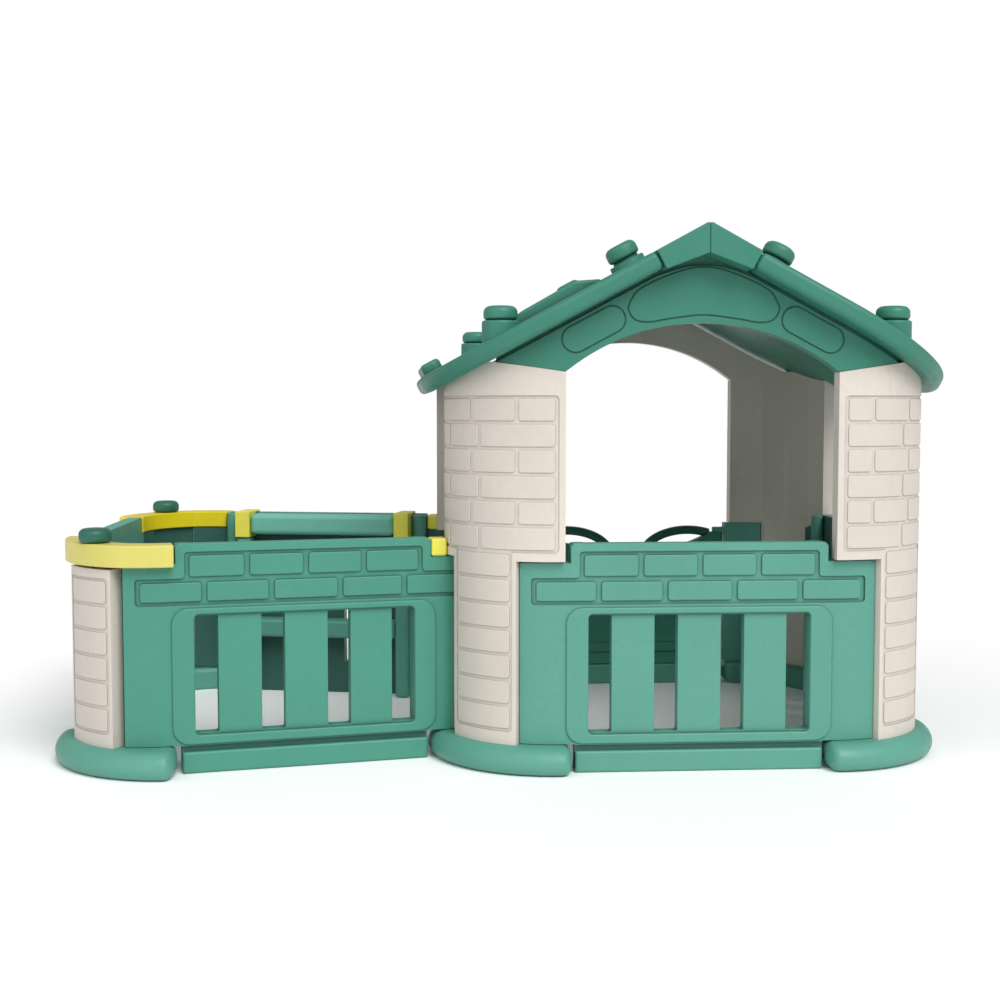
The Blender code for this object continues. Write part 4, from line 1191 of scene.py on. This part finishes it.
def pen_meeting(run, word, flip, reach):
    """Post and yellow block where a pen fence meets the house; reach is how far the block goes along."""
    sign = -1 if flip else 1
    lead = radians(90 - POST_START) + 0.0026
    outline = []
    for radius in (CORNER_R - 0.002, CORNER_R - POST_T + 0.002):
        x = CORNER[0] - radius * sin(lead)
        y = CORNER[1] - radius * cos(lead)
        outline.append((x, WIDTH - y if flip else y))
    edge = panel_path(PANEL_IN - FIELD_PROUD - TOUCH)
    for x, y in reversed(edge[-7:]):
        outline.append(along(run, sign * x, y - PANEL_IN))
    post = soften(prism([outline], FOOT_TOP + 0.001, SHOULDER_Z), SMALL_EDGE)
    piece(post, "pen_joint_post_" + word, "shell", BEIGE)
    near = TAB_HALF + SEAM
    block = []
    for s, depth in ((near, -0.009), (reach[0], -0.009), (reach[1], 0.040), (near, 0.040)):
        block.append(along(run, sign * s, depth))
    cap = soften(prism([block], SHOULDER_Z + 0.0008, 0.4985), 0.0060, 5)
    piece(cap, "pen_joint_cap_" + word, "lid", YELLOW)


def shelf_bar(x0, x1, far, low, high, edge):
    return soften(slab_between(x0, x1, SHELF_NEAR, far, low, high), edge, 6)


def build_shelf():
    """Two bars on two legs, hung on the pen's back fence by two yellow hooks."""
    local = Matrix.Translation((BACK_RUN[0], BACK_RUN[1], 0)) @ Matrix.Rotation(BACK_RUN[2], 4, "Z")
    far = SHELF_FAR
    top = shelf_bar(-0.2020, 0.2020, far, 0.4430, 0.4995, 0.0140)
    # The top bar takes the paler mint of painted light.
    piece(placed(top, local), "shelf_top", "bar", LIT_MINT)
    lower = shelf_bar(-0.2028, 0.2028, far, 0.1600, 0.2090, 0.0100)
    piece(placed(lower, local), "shelf_lower", "bar", MINT)
    for sign, word in ((-1, "right"), (1, "left")):
        x0, x1 = sorted(sign * x for x in SHELF_LEG)
        leg = shelf_bar(x0, x1, far - 0.002, 0.0, SHELF_LEG_TOP, 0.0110)
        piece(placed(leg, local), "shelf_leg_" + word, "shell", MINT)
        side = [(SHELF_NEAR, 0.4350), (far + 0.003, 0.4350), (far + 0.003, 0.5060), (-0.0070, 0.5060)]
        side += [(-0.0070, 0.4800), (-0.0010, 0.4800), (-0.0010, PANEL_TOP + 0.0006)]
        side += [(SHELF_NEAR, PANEL_TOP + 0.0006)]
        hook = prism([side], x0 - 0.0005, x1 + 0.0005)
        hook.data.transform(Matrix(((0, 0, 1, 0), (1, 0, 0, 0), (0, 1, 0, 0), (0, 0, 0, 1))))
        outwards(hook.data)
        soften(hook, 0.0024, 4)
        piece(placed(hook, local), "shelf_hook_" + word, "clip", YELLOW)


def build_pen():
    pen_corner(0, "front")
    pen_corner(1, "back")
    pen_meeting(FRONT_RUN, "front", False, (0.3195, 0.3235))
    pen_meeting(BACK_RUN, "back", True, (0.3160, 0.3135))
    build_shelf()


# ---------------------------------------------------------------- stage


def build_stage():
    """Pale floor, even light and a camera on the front."""
    scene = bpy.context.scene
    scene.view_settings.view_transform = "Standard"
    floor_look = bpy.data.materials.new("pale_floor")
    floor_look.use_nodes = True
    shader = floor_look.node_tree.nodes["Principled BSDF"]
    shader.inputs["Base Color"].default_value = (0.99, 0.99, 0.99, 1)
    shader.inputs["Roughness"].default_value = 0.9
    work = bmesh.new()
    bmesh.ops.create_grid(work, x_segments=1, y_segments=1, size=40)
    mesh = bpy.data.meshes.new("studio_floor")
    work.to_mesh(mesh)
    work.free()
    floor = mesh_object("studio_floor", mesh)
    floor.location = (0, 0, -0.0005)
    mesh.materials.append(floor_look)

    world = bpy.data.worlds.new("studio")
    scene.world = world
    world.use_nodes = True
    tree = world.node_tree
    backdrop = tree.nodes["Background"]
    backdrop.inputs["Color"].default_value = (1, 1, 1, 1)
    rays = tree.nodes.new("ShaderNodeLightPath")
    level = tree.nodes.new("ShaderNodeMapRange")
    level.inputs["To Min"].default_value = AMBIENT
    level.inputs["To Max"].default_value = BACKDROP
    tree.links.new(rays.outputs["Is Camera Ray"], level.inputs["Value"])
    tree.links.new(level.outputs["Result"], backdrop.inputs["Strength"])

    def sky_panel(name, came_from, spread, strength):
        """A very large, very soft lamp that lights the floor evenly out to the horizon."""
        data = bpy.data.lights.new(name, "SUN")
        data.angle = radians(spread)
        data.energy = strength
        lamp = bpy.data.objects.new(name, data)
        scene.collection.objects.link(lamp)
        lamp.location = came_from
        lamp.rotation_euler = (-Vector(came_from)).to_track_quat("-Z", "Y").to_euler()

    sky_panel("key", *KEY_LAMP)
    sky_panel("fill", *FILL_LAMP)

    data = bpy.data.cameras.new("camera")
    data.lens = LENS
    data.sensor_width = 36
    data.shift_y = SHIFT_Y
    data.clip_end = 100
    camera = bpy.data.objects.new("camera", data)
    scene.collection.objects.link(camera)
    camera.location = HOUSE @ Vector(EYE)
    ahead = Vector((sin(EYE_YAW) * cos(EYE_PITCH), cos(EYE_YAW) * cos(EYE_PITCH), -sin(EYE_PITCH)))
    camera.rotation_euler = ahead.to_track_quat("-Z", "Y").to_euler()
    scene.camera = camera


build_posts()
build_panels()
build_roof()
build_doorway()
build_pen()
build_stage()
